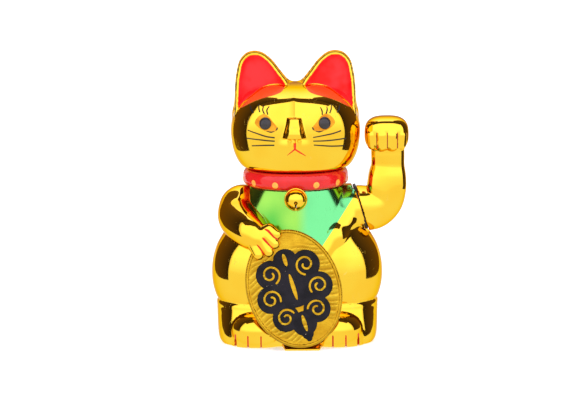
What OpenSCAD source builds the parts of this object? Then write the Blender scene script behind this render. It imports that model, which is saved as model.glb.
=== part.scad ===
// Beckoning cat figurine: a hollow gold-plated cat whose raised arm waves on a battery-driven pendulum.
// +Z is up, the cat faces -Y and its waving arm is on +X.
// The origin is the centre of the base plate's lower face, on the surface that the cat stands on.

/* [Body] */
// Width across the haunches
body_w = 93.6; // [90:0.2:98]
// Depth of the trunk at the haunches, front to back
body_d = 65.6; // [63:0.2:68]
// Thickness of the moulded walls
wall = 1.8; // [1.4:0.1:2.2]
// Gap between the front and rear halves
seam = 0.2; // [0.1:0.1:0.4]

/* [Head] */
// Width of the head
head_w = 70.6; // [68:0.2:74]
// Depth of the head, without the nose
head_d = 59.8; // [57:0.2:62]
// Height of the ear tips above the surface
ear_top = 160.3; // [157:0.1:163]
// Height of the eyes
eye_z = 123.6; // [122:0.2:125]
// Diameter of an eye bead
eye_d = 6.6; // [5.6:0.2:7.2]

/* [Collar and bell] */
// Outer diameter of the collar
collar_d = 58; // [57:0.5:60]
// Height of the collar
collar_h = 8.6; // [7.6:0.2:8.8]
// Diameter of the bell
bell_d = 12.4; // [11:0.2:12.8]

/* [Coin] */
// Length of the oval coin
coin_l = 67; // [62:0.5:68]
// Width of the oval coin
coin_w = 51.6; // [48:0.5:52]
// Thickness of the coin's plate
coin_t = 2.4; // [2:0.1:2.8]
// Lean of the coin back towards the chest
coin_lean = 9; // [8:0.5:10]
// Turn of the coin in its own plane
coin_turn = 17; // [14:1:20]

/* [Waving arm] */
// Height of the arm's axle
axle_z = 72.4; // [71.5:0.1:73]
// Diameter of the steel axle
axle_d = 2; // [1.8:0.1:2.4]
// Diameter of the black disc at the shoulder
disc_d = 27.4; // [26:0.2:28]
// Slant of the shoulder disc
disc_slant = 16; // [12:1:17]
// Gap between the shoulder and the disc
disc_gap = 1.6; // [1.5:0.1:1.8]

/* [Base] */
// Thickness of the base plate
base_t = 3; // [2.6:0.1:3.4]
// Diameter of the battery, a standard AA cell
cell_d = 14.2; // [13.8:0.1:14.4]
// Length of the battery, without its tip
cell_l = 49.2; // [48.5:0.1:49.4]

/* [Hidden] */

ring_sides = 36;         // points round one section of a loft
steps_per_row = 2;       // sections made between two rows of a table
form_fn = 20;            // facets of the spheres in the moulded forms
pin_fn = 48;
slack = 0.3;             // gap between parts that meet face to face
big = 400;               // side of the blocks that cut halves
gold = "gold";
black_plastic = [0.08, 0.08, 0.09];

// Rows of a loft: height, half width, depth to the front, depth to the rear, squareness.
half_w = body_w / 2;
half_d = body_d / 2;
neck_r = 21.6;
neck_low = 85.2;
neck_split = 90;
body_rows = [
    [0,    half_w - 5.4,  half_d - 3.8, half_d - 3.4, 3.0],
    [1.6,  half_w - 3.6,  half_d - 2.2, half_d - 1.8, 3.0],
    [11,   half_w - 3.0,  half_d - 1.8, half_d - 1.2, 3.0],
    [21,   half_w - 2.8,  half_d - 2.3, half_d - 1.0, 2.8],
    [23,   half_w - 3.3,  half_d - 2.8, half_d - 1.4, 2.6],
    [28,   half_w - 1.0,  half_d - 1.4, half_d,       2.4],
    [36,   half_w,        half_d - 0.8, half_d + 0.8, 2.3],
    [46,   half_w - 1.5,  half_d - 1.6, half_d + 0.2, 2.2],
    [58,   half_w - 6.6,  half_d - 4.2, half_d - 2.3, 2.1],
    [70,   half_w - 13,   half_d - 6.6, half_d - 4.8, 2.1],
    [80,   half_w - 18.4, half_d - 8.2, half_d - 6.8, 2.0],
    [84.4, half_w - 20.4, half_d - 8.6, half_d - 8,   2.0],
    [neck_low, neck_r, neck_r, neck_r, 2.0],
    [neck_split - slack, neck_r, neck_r, neck_r, 2.0]
];
// The same rows carried past both ends, for a cavity that is open there.
body_open_rows = concat([body_rows[0] - [1, 0, 0, 0, 0]], body_rows, [body_rows[len(body_rows) - 1] + [1, 0, 0, 0, 0]]);
head_half = head_w / 2;
face_d = head_d / 2;
head_rows = [
    [neck_split, neck_r, neck_r, neck_r, 2.0],
    [94.2, neck_r, neck_r, neck_r, 2.0],
    [95,   head_half - 6.6,  face_d - 6.6, face_d - 6,   2.1],
    [98.4, head_half - 4.0,  face_d - 3.8, face_d - 3.4, 2.2],
    [106,  head_half - 1.1,  face_d - 1,   face_d - 0.9, 2.3],
    [115,  head_half,        face_d,       face_d + 0.3, 2.35],
    [124,  head_half - 1.2,  face_d - 0.4, face_d,       2.35],
    [131,  head_half - 3.4,  face_d - 2.4, face_d - 1.6, 2.3],
    [137,  head_half - 8.2,  face_d - 7,   face_d - 5.4, 2.2],
    [140.6, head_half - 16,  face_d - 14,  face_d - 12,  2.1],
    [142.2, head_half - 27,  face_d - 22,  face_d - 21,  2.0]
];

head_open_rows = concat([head_rows[0] - [1, 0, 0, 0, 0]], head_rows);

// The coin's pose: its centre, which is also where its pegs start.
coin_centre = [-1.9, -37.8, 33.9];
rim_t = 0.6;
peg_d = 3;
peg_places = [[-9, 14], [9, -10]];
// Lobes of the coin's cloud ornament, right half: centre and radius.
cloud_lobes = [
    [[0, 0], 10.4], [[0, 15.8], 6.6], [[10, 10.8], 7.9], [[13.6, -2.2], 7.6], [[8.8, -14.2], 7.4],
    [[0, -19.8], 6.8], [[0, -25.6], 3.2], [[0, -28.4], 1.6]
];
// Spiral slits in its lobes: centre, outer radius, first angle and angle swept.
cloud_spirals = [
    [[10, 10.8], 5.5, 250, -450],
    [[13.6, -2.2], 5.3, 205, -450],
    [[8.8, -14.2], 5.1, 160, -450]
];
// Leaf-shaped slits along its middle: centre and half height; and half the width of every slit.
cloud_leaves = [[[0, 16.4], 3.6], [[0, 1], 7.4], [[0, -19.6], 4.6]];
slit_half = 0.55;

palm = [-21, -35, 60.6];
palm_r = 6.2;
// The arm that holds the coin, as balls: centre and radius.
holding_arm = [
    [[-27.5, -2, 71.5], 13.5],
    [[-31, -5, 69], 12.6],
    [[-31, -13, 63], 11],
    [[-26.6, -24, 61], 9.4],
    [palm, palm_r]
];
finger_tips = [[-21.4, -39, 52.6], [-16, -39.2, 54.6], [-12.4, -38.8, 58.8], [-11.6, -37.6, 63.8]];
finger_r = 2.9;
// The shoulder that carries the waving arm narrows to a fold that ends behind the coin.
shoulder_fold = [
    [[22, -2, 71.5], 13.6],
    [[24, -9, 67.5], 10.5],
    [[20, -20, 59], 7],
    [[14, -26, 51], 5]
];
foot_x = 22;
toe_lines = [-12.1, -5.2, 1.9];
tail_balls = [for (a = [0 : 20 : 140]) [[-16 + 15 * cos(a), 34.5 - a / 70, 20 + 15 * sin(a)], 6 - a / 60]];

// The waving arm: its shoulder end, elbow, forearm and wrist, as balls.
disc_x = 34.4;
disc_t = 1.8;
waving_arm = [
    [[disc_x - 1, 0, axle_z - 0.3], 12.6],
    [[42, 0, axle_z + 0.2], 12.9],
    [[46.8, 0, axle_z + 1.2], 13],
    [[49.8, 0, 82], 11],
    [[51.2, 0, 93], 9.7],
    [[50.9, 0, 103], 8.6]
];
fist_centre = [50, -1.4, 114.4];
fist_r = [12.1, 10.8, 10.4];

// Mechanism
base_half_w = half_w - 5.4 - wall - slack;
base_half_d = half_d - 3.8 - wall - slack;
cell_y = 14.6;
cell_z = 2.3 + cell_d / 2;
cell_x = -23.2;          // the battery's flat end
door_l = 57;
door_w = 16;
door_t = 1.6;
coil_at = [4, -1.6];
coil_r = 5.6;
coil_h = 12;
post_t = 3;
post_x = [-8, 15];       // inner faces of the frame's two posts
lever_x = coil_at[0];
lever_t = 4;
magnet_z = 21.5;
counterweight_z = 36;
hub_r = 4;
axle_clearance = 0.05;
base_screw_places = [[-31, -15], [31, -15], [-34.4, 12], [34.4, 12]];
frame_screw_places = [[-12.5, -12], [19.5, -12]];
screw_r = 1;
screw_head_r = 2;
switch_at = [27, -4];
board_at = [-22.8, -3.6];
board_size = [15, 12, 1.2];

// ---------------------------------------------------------------- shapes that repeat

// A ball squashed to three radii.
module ellipsoid(centre, r, fn = form_fn) translate(centre) scale(r) sphere(r = 1, $fn = fn);

// A chain of balls, each hulled to the next. An inset makes the cavity inside it.
module ball_chain(balls, inset = 0) {
    for (i = [0 : len(balls) - 2])
        hull() {
            translate(balls[i][0]) sphere(r = balls[i][1] - inset, $fn = form_fn);
            translate(balls[i + 1][0]) sphere(r = balls[i + 1][1] - inset, $fn = form_fn);
        }
}

function signed_power(v, p) = sign(v) * pow(abs(v), p);

// One closed section of a loft, a superellipse whose front and rear depths differ.
function section(row, inset) = [
    for (i = [0 : ring_sides - 1])
        let (t = 360 * i / ring_sides, depth = sin(t) < 0 ? row[2] : row[3], p = 2 / row[4])
            [(row[1] - inset) * signed_power(cos(t), p), (depth - inset) * signed_power(sin(t), p), row[0]]
];

// Catmull-Rom blend of four values.
function blend4(a, b, c, d, t) =
    0.5 * (2 * b + (c - a) * t + (2 * a - 5 * b + 4 * c - d) * t * t + (3 * b - a - 3 * c + d) * t * t * t);

// The rows of a table with smooth rows between them.
function smooth_rows(rows) = let (last = len(rows) - 1) concat(
    [
        for (i = [0 : last - 1], s = [0 : steps_per_row - 1])
            let (a = rows[max(i - 1, 0)], b = rows[i], c = rows[i + 1], d = rows[min(i + 2, last)])
                blend4(a, b, c, d, s / steps_per_row)
    ],
    [rows[last]]
);

// A solid through the sections of a table of rows. The inset makes its cavity, which the
// top_drop closes lower at a domed top.
module loft(rows, inset = 0, top_drop = 0) {
    smooth = smooth_rows(rows);
    n = len(smooth);
    top = smooth[n - 1][0];
    crown = 20;
    rings = [
        for (r = smooth)
            let (fall = top_drop * max(0, (r[0] - top + crown) / crown))
                [for (p = section(r, inset)) [p[0], p[1], p[2] - fall]]
    ];
    sides = ring_sides;
    faces = concat(
        [[for (i = [0 : sides - 1]) i]],
        [for (k = [0 : n - 2], i = [0 : sides - 1])
            let (j = (i + 1) % sides) [k * sides + i, (k + 1) * sides + i, (k + 1) * sides + j]],
        [for (k = [0 : n - 2], i = [0 : sides - 1])
            let (j = (i + 1) % sides) [k * sides + i, (k + 1) * sides + j, k * sides + j]],
        [[for (i = [sides - 1 : -1 : 0]) (n - 1) * sides + i]]
    );
    polyhedron([for (r = rings, p = r) p], faces);
}

module both_sides() {
    children();
    mirror([1, 0, 0]) children();
}

// Keeps the front half (-1) or the rear half (1) of its children, with half the seam removed.
module half(side) intersection() {
    children();
    translate([-big / 2, side > 0 ? seam / 2 : -big - seam / 2, -big / 2]) cube(big);
}

module screw(length) {
    cylinder(r = screw_head_r, h = 1.2, $fn = pin_fn);
    cylinder(r = screw_r, h = length, $fn = pin_fn);
}

// Places its children in the coin's frame: X across it, Y along it, Z out of its face.
module on_coin() translate(coin_centre) rotate([90 - coin_lean, 0, 0]) rotate([0, 0, coin_turn]) children();

// The flat oval of the coin, grown by some margin.
module coin_oval(grow = 0) polygon([
    for (a = [0 : 6 : 354]) [(coin_w / 2 + grow) * cos(a), (coin_l / 2 + grow) * sin(a)]
]);

// Places its children on the shoulder disc, with Z along its slanted axis.
module at_disc() translate([disc_x, 0, axle_z]) rotate([0, 90 - disc_slant, 0]) children();

// The flat in the shoulder that the disc turns in front of.
module shoulder_recess(inset) at_disc() translate([0, 0, -disc_gap - inset])
    cylinder(r = disc_d / 2 + disc_gap + inset, h = 30, $fn = ring_sides);

// ---------------------------------------------------------------- the cat's body

module trunk_and_limbs(inset = 0) difference() {
    union() {
        loft(inset > 0 ? body_open_rows : body_rows, inset);
        ball_chain(holding_arm, inset);
        ball_chain(shoulder_fold, inset);
        both_sides() foot(inset);
        coin_pad(inset);
    }
    shoulder_recess(inset);
}

// A foot rests flat on the surface; its cavity stays above the sole.
module foot(inset) intersection() {
    hull() {
        ellipsoid([foot_x, -22, 9], [14 - inset, 13 - inset, 11 - inset]);
        ellipsoid([foot_x, -12, 9], [14 - inset, 13 - inset, 13 - inset]);
    }
    translate([0, -big / 2, inset]) cube(big);
}

// The swelling of the belly that the coin is pegged to.
module coin_pad(inset) on_coin() translate([0, 0, -coin_t / 2 - slack - inset])
    mirror([0, 0, 1]) linear_extrude(9) coin_oval(-7 - inset);

// The fronts of the feet, flat underneath, with grooves between the toes.
module toes() both_sides() difference() {
    hull() {
        translate([foot_x, -24, 0]) scale([1.38, 1, 1]) cylinder(r = 10.2, h = 6.5, $fn = form_fn);
        translate([foot_x, -24, 6]) ellipsoid([0, 0, 0], [13.4, 10, 4]);
    }
    for (x = toe_lines) translate([foot_x - x - 0.6, -40, -1]) cube([1.2, 7, 7.5]);
}

module fingers() for (tip = finger_tips) hull() {
    translate(tip) sphere(r = finger_r, $fn = form_fn);
    translate(palm) sphere(r = palm_r, $fn = form_fn);
}

// The ledge in front that the coin stands on.
module coin_ledge() hull() {
    translate([-7, -30, 0]) cube([19, 4, 2]);
    translate([-5, -43, 0]) cube([15, 4, 0.9]);
}

module shoulder_opening() translate([12, 0, axle_z]) rotate([0, 90, 0]) cylinder(r = 7.6, h = 40, $fn = form_fn);

// Room for the coin and its pegs in what stands behind and over it.
module coin_space() on_coin() {
    translate([0, 0, -coin_t / 2 - slack]) linear_extrude(coin_t + rim_t + 2 * slack) coin_oval(slack);
    for (p = peg_places) translate([p[0], p[1], -12]) cylinder(d = peg_d + 2 * slack, h = 12, $fn = form_fn);
}

// Screw posts inside the base, open at the bottom.
module base_bosses(side) for (p = base_screw_places) if (p[1] * side > 0)
    translate([p[0], p[1], base_t + slack]) difference() {
        hull() {
            cylinder(r = 3.2, h = 9, $fn = form_fn);
            translate([sign(p[0]) * 9, 0, 0]) cylinder(r = 3.2, h = 12, $fn = form_fn);
        }
        translate([0, 0, -1]) cylinder(r = screw_r + 0.15, h = 8, $fn = form_fn);
    }

module body_shell(side) half(side) {
    difference() {
        union() {
            trunk_and_limbs();
            if (side < 0) {
                toes();
                fingers();
                coin_ledge();
            } else {
                ball_chain(tail_balls);
            }
        }
        trunk_and_limbs(wall);
        shoulder_opening();
        coin_space();
    }
    intersection() {
        base_bosses(side);
        loft(body_rows, wall / 2);
    }
}

module body_front_shell() color(gold) body_shell(-1);
module body_rear_shell() color(gold) body_shell(1);

// ---------------------------------------------------------------- the head

module ear(inset = 0) {
    hull() {
        ellipsoid([-21.6, 0, ear_top - 8.8], [8.8 - inset, 4.6 - inset, 8.8 - inset]);
        ellipsoid([-27.4, 0, 127], [6.2 - inset, 9 - inset, 6 - inset]);
        ellipsoid([-9, 0, 134.6], [7.4 - inset, 9 - inset, 7.4 - inset]);
    }
    // The back of the ear is rounded where it grows out of the head.
    hull() {
        ellipsoid([-20.4, 2, 145], [7.4 - inset, 5 - inset, 6 - inset]);
        ellipsoid([-20, 6, 133], [10 - inset, 8 - inset, 6 - inset]);
    }
}

// The dished front of an ear.
module ear_dish() hull() {
    ellipsoid([-21.8, -8.4, ear_top - 9.4], [6.8, 5.2, 6.8]);
    ellipsoid([-27.8, -13, 129], [4, 5.6, 5]);
    ellipsoid([-10.6, -13, 137], [5.4, 5.6, 4.6]);
}

// The nose and the low muzzle under it.
module face_relief() {
    hull() {
        ellipsoid([0, -face_d + 1.4, eye_z + 2], [3.4, 2.2, 2.4]);
        ellipsoid([0, -face_d - 1, 119], [6.2, 3.4, 3]);
    }
    hull() both_sides() ellipsoid([2.6, -face_d + 1.6, 113], [4, 2.6, 3.6]);
}

module eye_socket(x) translate([x, -22.4, eye_z]) rotate([90, 0, 0]) {
    cylinder(d = eye_d + 2 * slack, h = 12, $fn = form_fn);
    translate([0, 0, -8]) cylinder(d = 3 + 2 * slack, h = 12, $fn = form_fn);
}

// The ring that plugs the head into the body's neck.
module neck_plug() difference() {
    translate([0, 0, 86.4]) cylinder(r = neck_r - wall - slack, h = 8.6, $fn = ring_sides);
    translate([0, 0, 85]) cylinder(r = neck_r - 2 * wall - slack, h = 12, $fn = ring_sides);
}

module head_shell(side) half(side) {
    difference() {
        union() {
            loft(head_rows);
            both_sides() difference() {
                ear();
                ear_dish();
            }
            if (side < 0) face_relief();
        }
        loft(head_open_rows, wall, wall);
        both_sides() {
            ear(wall + 0.4);
            eye_socket(16.2);
        }
    }
    difference() {
        neck_plug();
        translate([0, 0, 95]) cylinder(r = 40, h = 5);
    }
    neck_web();
}

// The web that ties the neck plug to the wall of the head.
module neck_web() difference() {
    translate([0, 0, 93]) cylinder(r = neck_r - slack, h = 2, $fn = ring_sides);
    translate([0, 0, 92]) cylinder(r = neck_r - 2 * wall - slack, h = 4, $fn = ring_sides);
}

module head_front_shell() color(gold) head_shell(-1);
module head_rear_shell() color(gold) head_shell(1);

module eye_bead(x) color(black_plastic) translate([x, -22.4, eye_z]) rotate([90, 0, 0]) {
    translate([0, 0, 3.9]) intersection() {
        translate([0, 0, -eye_d * 0.15]) sphere(d = eye_d * 1.045, $fn = pin_fn);
        cylinder(d = eye_d, h = 4, $fn = pin_fn);
    }
    translate([0, 0, 0.4]) cylinder(d = eye_d, h = 3.6, $fn = pin_fn);
    translate([0, 0, -3]) cylinder(d = 3, h = 4, $fn = pin_fn);
}

module eye_left() eye_bead(16.2);
module eye_right() eye_bead(-16.2);

// ---------------------------------------------------------------- collar, bell and coin

collar_z = 89.8;
collar_in_r = neck_r + slack;
collar_mid = (collar_d / 2 + collar_in_r) / 2;
bell_centre = [0, -collar_d / 2 - 3.2, 81.9];
bell_lean = 41;          // the bell's loop leans back to the middle of the collar
module collar() color("crimson") difference() {
    translate([0, 0, collar_z]) rotate_extrude($fn = 96) polygon([
        for (a = [0 : 15 : 345]) [
            collar_mid + (collar_d / 2 - collar_in_r) / 2 * signed_power(cos(a), 0.8),
            collar_h / 2 * signed_power(sin(a), 0.8)
        ]
    ]);
    bell_peg(slack / 3);
}

// Places its children at the bell's centre, with Z towards the middle of the collar.
module at_bell() translate(bell_centre) rotate([-bell_lean, 0, 0]) children();

// The peg that holds the bell in the collar.
module bell_peg(grow = 0) at_bell() translate([0, 0, bell_d / 2 - 0.6])
    cylinder(d = 1.6 + 2 * grow, h = 4.6 + grow, $fn = pin_fn);

module bell() color(gold) {
    difference() {
        translate(bell_centre) {
            sphere(d = bell_d, $fn = pin_fn);
            rotate([90, 0, 0]) rotate_extrude($fn = pin_fn)
                translate([bell_d / 2 - 0.2, 0]) circle(d = 1, $fn = 16);
        }
        translate(bell_centre) sphere(d = bell_d - 1.8, $fn = pin_fn);
        translate(bell_centre + [-0.5, -bell_d, -bell_d]) cube([1, bell_d * 2, bell_d * 0.8]);
    }
    bell_peg();
}

module bell_clapper() color("dimgray") translate(bell_centre + [0, 0, -bell_d / 2 + 2.3]) sphere(d = 2.6, $fn = pin_fn);

module koban_coin() color("goldenrod") on_coin() {
    translate([0, 0, -coin_t / 2]) linear_extrude(coin_t) coin_oval();
    translate([0, 0, coin_t / 2]) linear_extrude(rim_t) difference() {
        coin_oval(-0.6);
        coin_oval(-1.8);
    }
    for (p = peg_places) translate([p[0], p[1], -coin_t / 2 - 5]) cylinder(d = peg_d, h = 5, $fn = pin_fn);
}

// A slit that winds inwards.
module spiral_slit(at, radius, from, sweep) {
    steps = 30;
    angle = function(k) from + sweep * k / steps;
    reach = function(k) radius * (1 - 0.74 * k / steps);
    translate(at) polygon(concat(
        [for (k = [0 : steps]) (reach(k) + slit_half) * [cos(angle(k)), sin(angle(k))]],
        [for (k = [steps : -1 : 0]) (reach(k) - slit_half) * [cos(angle(k)), sin(angle(k))]]
    ));
}

// A pointed upright slit, twice as wide as the others.
module leaf_slit(at, half_height) translate(at) polygon(concat(
    [for (a = [-90 : 15 : 90]) [2 * slit_half * cos(a), half_height * sin(a)]],
    [for (a = [75 : -15 : -75]) [-2 * slit_half * cos(a), half_height * sin(a)]]
));

module coin_ornament() color(black_plastic) on_coin() translate([0, 0, coin_t / 2]) linear_extrude(rim_t)
    difference() {
        for (c = cloud_lobes, side = c[0][0] > 0 ? [-1, 1] : [1])
            translate([side * c[0][0], c[0][1]]) circle(c[1], $fn = pin_fn);
        both_sides() for (c = cloud_spirals) spiral_slit(c[0], c[1], c[2], c[3]);
        for (c = cloud_leaves) leaf_slit(c[0], c[1]);
    }

// ---------------------------------------------------------------- the waving arm

module waving_arm_form(inset = 0) difference() {
    union() {
        ball_chain(waving_arm, inset);
        ellipsoid(fist_centre, fist_r - [inset, inset, inset]);
        hull() {
            ellipsoid(fist_centre + [-3.6, -1.6, -3.4], [8 - inset, 9.4 - inset, 6 - inset]);
            ellipsoid(fist_centre + [3.6, -1.6, -3.4], [8 - inset, 9.4 - inset, 6 - inset]);
        }
    }
    at_disc() translate([-big / 2, -big / 2, disc_t + inset - big]) cube(big);
}

// Four curled fingers on the front of the fist.
module curled_fingers() for (x = [-7.8, -2.6, 2.6, 7.8]) hull() {
    translate(fist_centre + [x, -8.4, -1.5]) sphere(r = 3, $fn = form_fn);
    translate(fist_centre + [x * 0.9, -6.6, -7.2]) sphere(r = 2.8, $fn = form_fn);
}

module arm_shell(side) half(side) difference() {
    union() {
        waving_arm_form();
        if (side < 0) curled_fingers();
    }
    waving_arm_form(wall);
    at_disc() translate([0, 0, disc_t - 1]) cylinder(d = 8 + 2 * slack, h = 3 + wall, $fn = form_fn);
}

module arm_front_shell() color(gold) arm_shell(-1);
module arm_rear_shell() color(gold) arm_shell(1);

module shoulder_disc() color(black_plastic) difference() {
    union() {
        at_disc() {
            cylinder(d = disc_d, h = disc_t - slack, $fn = 96);
            cylinder(d = 8, h = disc_t + wall + 2, $fn = pin_fn);
        }
        translate([24, 0, axle_z]) rotate([0, 90, 0]) cylinder(r = hub_r, h = disc_x - 24 + 2, $fn = pin_fn);
    }
    translate([20, 0, axle_z]) rotate([0, 90, 0]) cylinder(d = axle_d, h = 10, $fn = pin_fn);
}

axle_from = post_x[0] - post_t - 2.4;
axle_to = 30;

module along_axle(x) translate([x, 0, axle_z]) rotate([0, 90, 0]) children();

module arm_axle() color("silver") along_axle(axle_from) cylinder(d = axle_d, h = axle_to - axle_from, $fn = pin_fn);

// Push-on clips that keep the axle from sliding along its bearings.
module axle_clips() color("gray") for (x = [post_x[0] - post_t - 1.2, post_x[1] + post_t + 0.4])
    along_axle(x) difference() {
        cylinder(r = 2.4, h = 0.8, $fn = pin_fn);
        translate([0, 0, -1]) cylinder(d = axle_d, h = 3, $fn = pin_fn);
    }

lever_low = magnet_z + 1.6;

module pendulum_lever() color(black_plastic) difference() {
    union() {
        along_axle(lever_x - lever_t) cylinder(r = hub_r, h = 2 * lever_t, $fn = pin_fn);
        translate([lever_x - lever_t / 2, -2, lever_low]) cube([lever_t, 4, axle_z - lever_low]);
        translate([lever_x, 0, lever_low]) cylinder(r = 6, h = 2, $fn = pin_fn);
    }
    along_axle(lever_x - 10) cylinder(d = axle_d, h = 20, $fn = pin_fn);
}

// A steel block clamped round the lever, heavy enough to hold the arm upright.
module counterweight() color("slategray") difference() {
    translate([lever_x - 8, -5.4, counterweight_z - 5]) cube([16, 10.8, 10]);
    translate([lever_x - lever_t / 2, -2, counterweight_z - 6]) cube([lever_t, 4, 12]);
}

module drive_magnet() color("silver") translate([lever_x, 0, magnet_z - 2]) cylinder(r = 5, h = lever_low - magnet_z + 2, $fn = pin_fn);

// ---------------------------------------------------------------- base and mechanism

module base_outline() polygon([
    for (p = section([0, base_half_w, base_half_d, base_half_d + 0.4, 3.0], 0)) [p[0], p[1]]
]);

door_x0 = -door_l / 2;
door_y0 = cell_y - door_w / 2;

module base_plate() color(black_plastic) difference() {
    union() {
        linear_extrude(base_t) base_outline();
        battery_cradle();
    }
    translate([door_x0 - slack, door_y0 - slack, -1]) cube([door_l + 2 * slack, door_w + 2 * slack, base_t + 2]);
    for (p = concat(base_screw_places, frame_screw_places)) translate([p[0], p[1], -1]) {
        cylinder(r = screw_r + 0.2, h = base_t + 2, $fn = pin_fn);
        cylinder(r = screw_head_r + 0.2, h = 2.4, $fn = pin_fn);
    }
    translate([switch_at[0] - 4.5, switch_at[1] - 2.2, -1]) cube([9, 4.4, base_t + 2]);
}

// Walls that hold the battery and its contacts.
module battery_cradle() {
    for (x = [door_x0 - 1.8, -door_x0 + 0.4]) translate([x, door_y0, 0]) cube([1.4, door_w, 12]);
    translate([door_x0 - 1.8, door_y0 - 1.8, 0]) cube([door_l + 3.6, 1.4, 10]);
    translate([-22, door_y0 + door_w + 0.4, 0]) cube([44, 1.4, 10]);
}

module base_screws() color("silver") for (p = base_screw_places)
    translate([p[0], p[1], 0.1]) screw(9);

module frame_screws() color("silver") for (p = frame_screw_places)
    translate([p[0], p[1], 0.1]) screw(6);

module battery_door() color(black_plastic) difference() {
    translate([door_x0, door_y0, 0.3]) cube([door_l, door_w, door_t]);
    for (i = [0 : 3]) translate([-door_x0 - 8 + i * 1.6, door_y0 + 4, 0]) cube([0.8, door_w - 8, 0.7]);
}

module battery() color("olivedrab") translate([cell_x, cell_y, cell_z]) rotate([0, 90, 0]) {
    cylinder(d = cell_d, h = cell_l, $fn = 96);
    cylinder(d = 5.2, h = cell_l + 1, $fn = pin_fn);
}

// A conical spring at the battery's flat end, as stacked turns.
module contact_spring() color("silver") translate([door_x0 + 0.1, cell_y, cell_z]) rotate([0, 90, 0]) {
    cylinder(r = 6, h = 0.5, $fn = pin_fn);
    for (i = [0 : 3]) translate([0, 0, 0.5 + i * 1.1]) spring_ring(5.4 - i * 0.5, 1.1);
}

module spring_ring(r, h) difference() {
    cylinder(r = r, h = h, $fn = pin_fn);
    translate([0, 0, -1]) cylinder(r = r - 0.7, h = h + 2, $fn = pin_fn);
}

module contact_plate() color("silver") {
    translate([-door_x0 - 0.3, cell_y - 5, cell_z - 6]) cube([0.5, 10, 12]);
    translate([-door_x0 - 1.4, cell_y, cell_z]) rotate([0, 90, 0]) cylinder(r = 2, h = 1.2, $fn = pin_fn);
}

// The bracket whose two posts carry the axle.
module swing_frame() color(black_plastic) difference() {
    union() {
        translate([post_x[0] - post_t - 4, -16, base_t]) cube([post_x[1] - post_x[0] + 2 * post_t + 8, 8, 2.4]);
        for (x = [post_x[0] - post_t, post_x[1]]) {
            translate([x, -16, base_t]) cube([post_t, 8, axle_z - base_t - 16]);
            hull() {
                translate([x, -16, axle_z - 22]) cube([post_t, 8, 2]);
                translate([x, 0, axle_z]) rotate([0, 90, 0]) cylinder(r = 4.4, h = post_t, $fn = 32);
            }
        }
    }
    for (x = [post_x[0] - post_t, post_x[1]]) along_axle(x - 1) cylinder(r = axle_d / 2 + axle_clearance, h = post_t + 2, $fn = pin_fn);
    for (p = frame_screw_places) translate([p[0], p[1], 0]) cylinder(r = screw_r + 0.1, h = 10, $fn = pin_fn);
}

module coil_bobbin() color("white") translate([coil_at[0], coil_at[1], base_t]) difference() {
    union() {
        cylinder(r = coil_r, h = 1, $fn = pin_fn);
        cylinder(r = 3, h = coil_h + 2, $fn = pin_fn);
        translate([0, 0, coil_h + 1]) cylinder(r = coil_r, h = 1, $fn = pin_fn);
    }
    translate([0, 0, -1]) cylinder(r = 1.6, h = coil_h + 4, $fn = pin_fn);
}

module coil_winding() color("peru") translate([coil_at[0], coil_at[1], base_t + 1]) difference() {
    cylinder(r = coil_r - 0.4, h = coil_h, $fn = pin_fn);
    translate([0, 0, -1]) cylinder(r = 3, h = coil_h + 2, $fn = pin_fn);
}

module board_frame() translate([board_at[0], board_at[1], base_t + 2]) children();

module circuit_board() color("darkgreen") board_frame() {
    translate([-board_size[0] / 2, -board_size[1] / 2, 0]) cube(board_size);
    for (x = [-5, 5]) translate([x, 0, -2]) cylinder(r = 1.2, h = 2, $fn = pin_fn);
}

module transistor() color(black_plastic) board_frame() translate([-3, 0.5, board_size[2]]) {
    translate([-2.2, -1.6, 2]) cube([4.4, 3.2, 4.4]);
    for (x = [-1.3, 0, 1.3]) translate([x, 0, 0]) cylinder(r = 0.25, h = 2, $fn = 16);
}

module capacitor() color("navy") board_frame() translate([3, -1.5, board_size[2]]) cylinder(r = 2.5, h = 7, $fn = pin_fn);

module switch_body() color("silver") translate([switch_at[0], switch_at[1], base_t]) difference() {
    translate([-6, -3.4, 0]) cube([12, 6.8, 4]);
    translate([-4.5, -2.2, -1]) cube([9, 4.4, 3.6]);
}

switch_travel = 2.4;
module switch_knob() color("white") translate([switch_at[0] - switch_travel / 2, switch_at[1], 0]) {
    translate([-1.6, -1.7, 0.4]) cube([3.2, 3.4, base_t]);
    translate([-2.8, -1.9, base_t + 0.2]) cube([5.6, 3.8, 2]);
}

// Leads clipped along the base from the contacts to the board.
module lead(points, r = 0.6) for (i = [0 : len(points) - 2]) hull() {
    translate(points[i]) sphere(r = r, $fn = 8);
    translate(points[i + 1]) sphere(r = r, $fn = 8);
}

lead_z = base_t + 1;             // height of a lead that lies on the base plate
board_top = base_t + 3.9;        // height of a lead soldered to the board
switch_top = base_t + 4.8;
contact_top = cell_z + 6.6;

module lead_positive() color("red") lead([
    [-door_x0 - 0.1, cell_y - 3, contact_top], [-door_x0 - 0.4, 4, contact_top],
    [28.6, 1, 12], [28, -1.6, switch_top]
]);
module lead_negative() color("black") lead([
    [door_x0 + 0.3, cell_y - 3, contact_top], [door_x0 + 0.4, 4, contact_top],
    [-27.6, 1.6, 11], [-27, -0.4, board_top]
]);
module lead_switch() color("blue") lead([
    [24, -6.4, switch_top], [24.6, -12, lead_z + 3], [24, -19, lead_z], [0, -21, lead_z],
    [-16, -19, lead_z], [-19.4, -12, board_top + 0.5], [-19.6, -8.4, board_top]
]);
module coil_leads() color("peru") for (i = [-1, 1]) lead([
    [coil_at[0] - coil_r - 0.4, coil_at[1] + i, base_t + 1.5], [-9, i - 3, base_t + 1.2],
    [-14.2, i - 3, board_top], [-16.4, i - 3, board_top - 0.3]
], 0.35);

// ---------------------------------------------------------------- nodes

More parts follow.
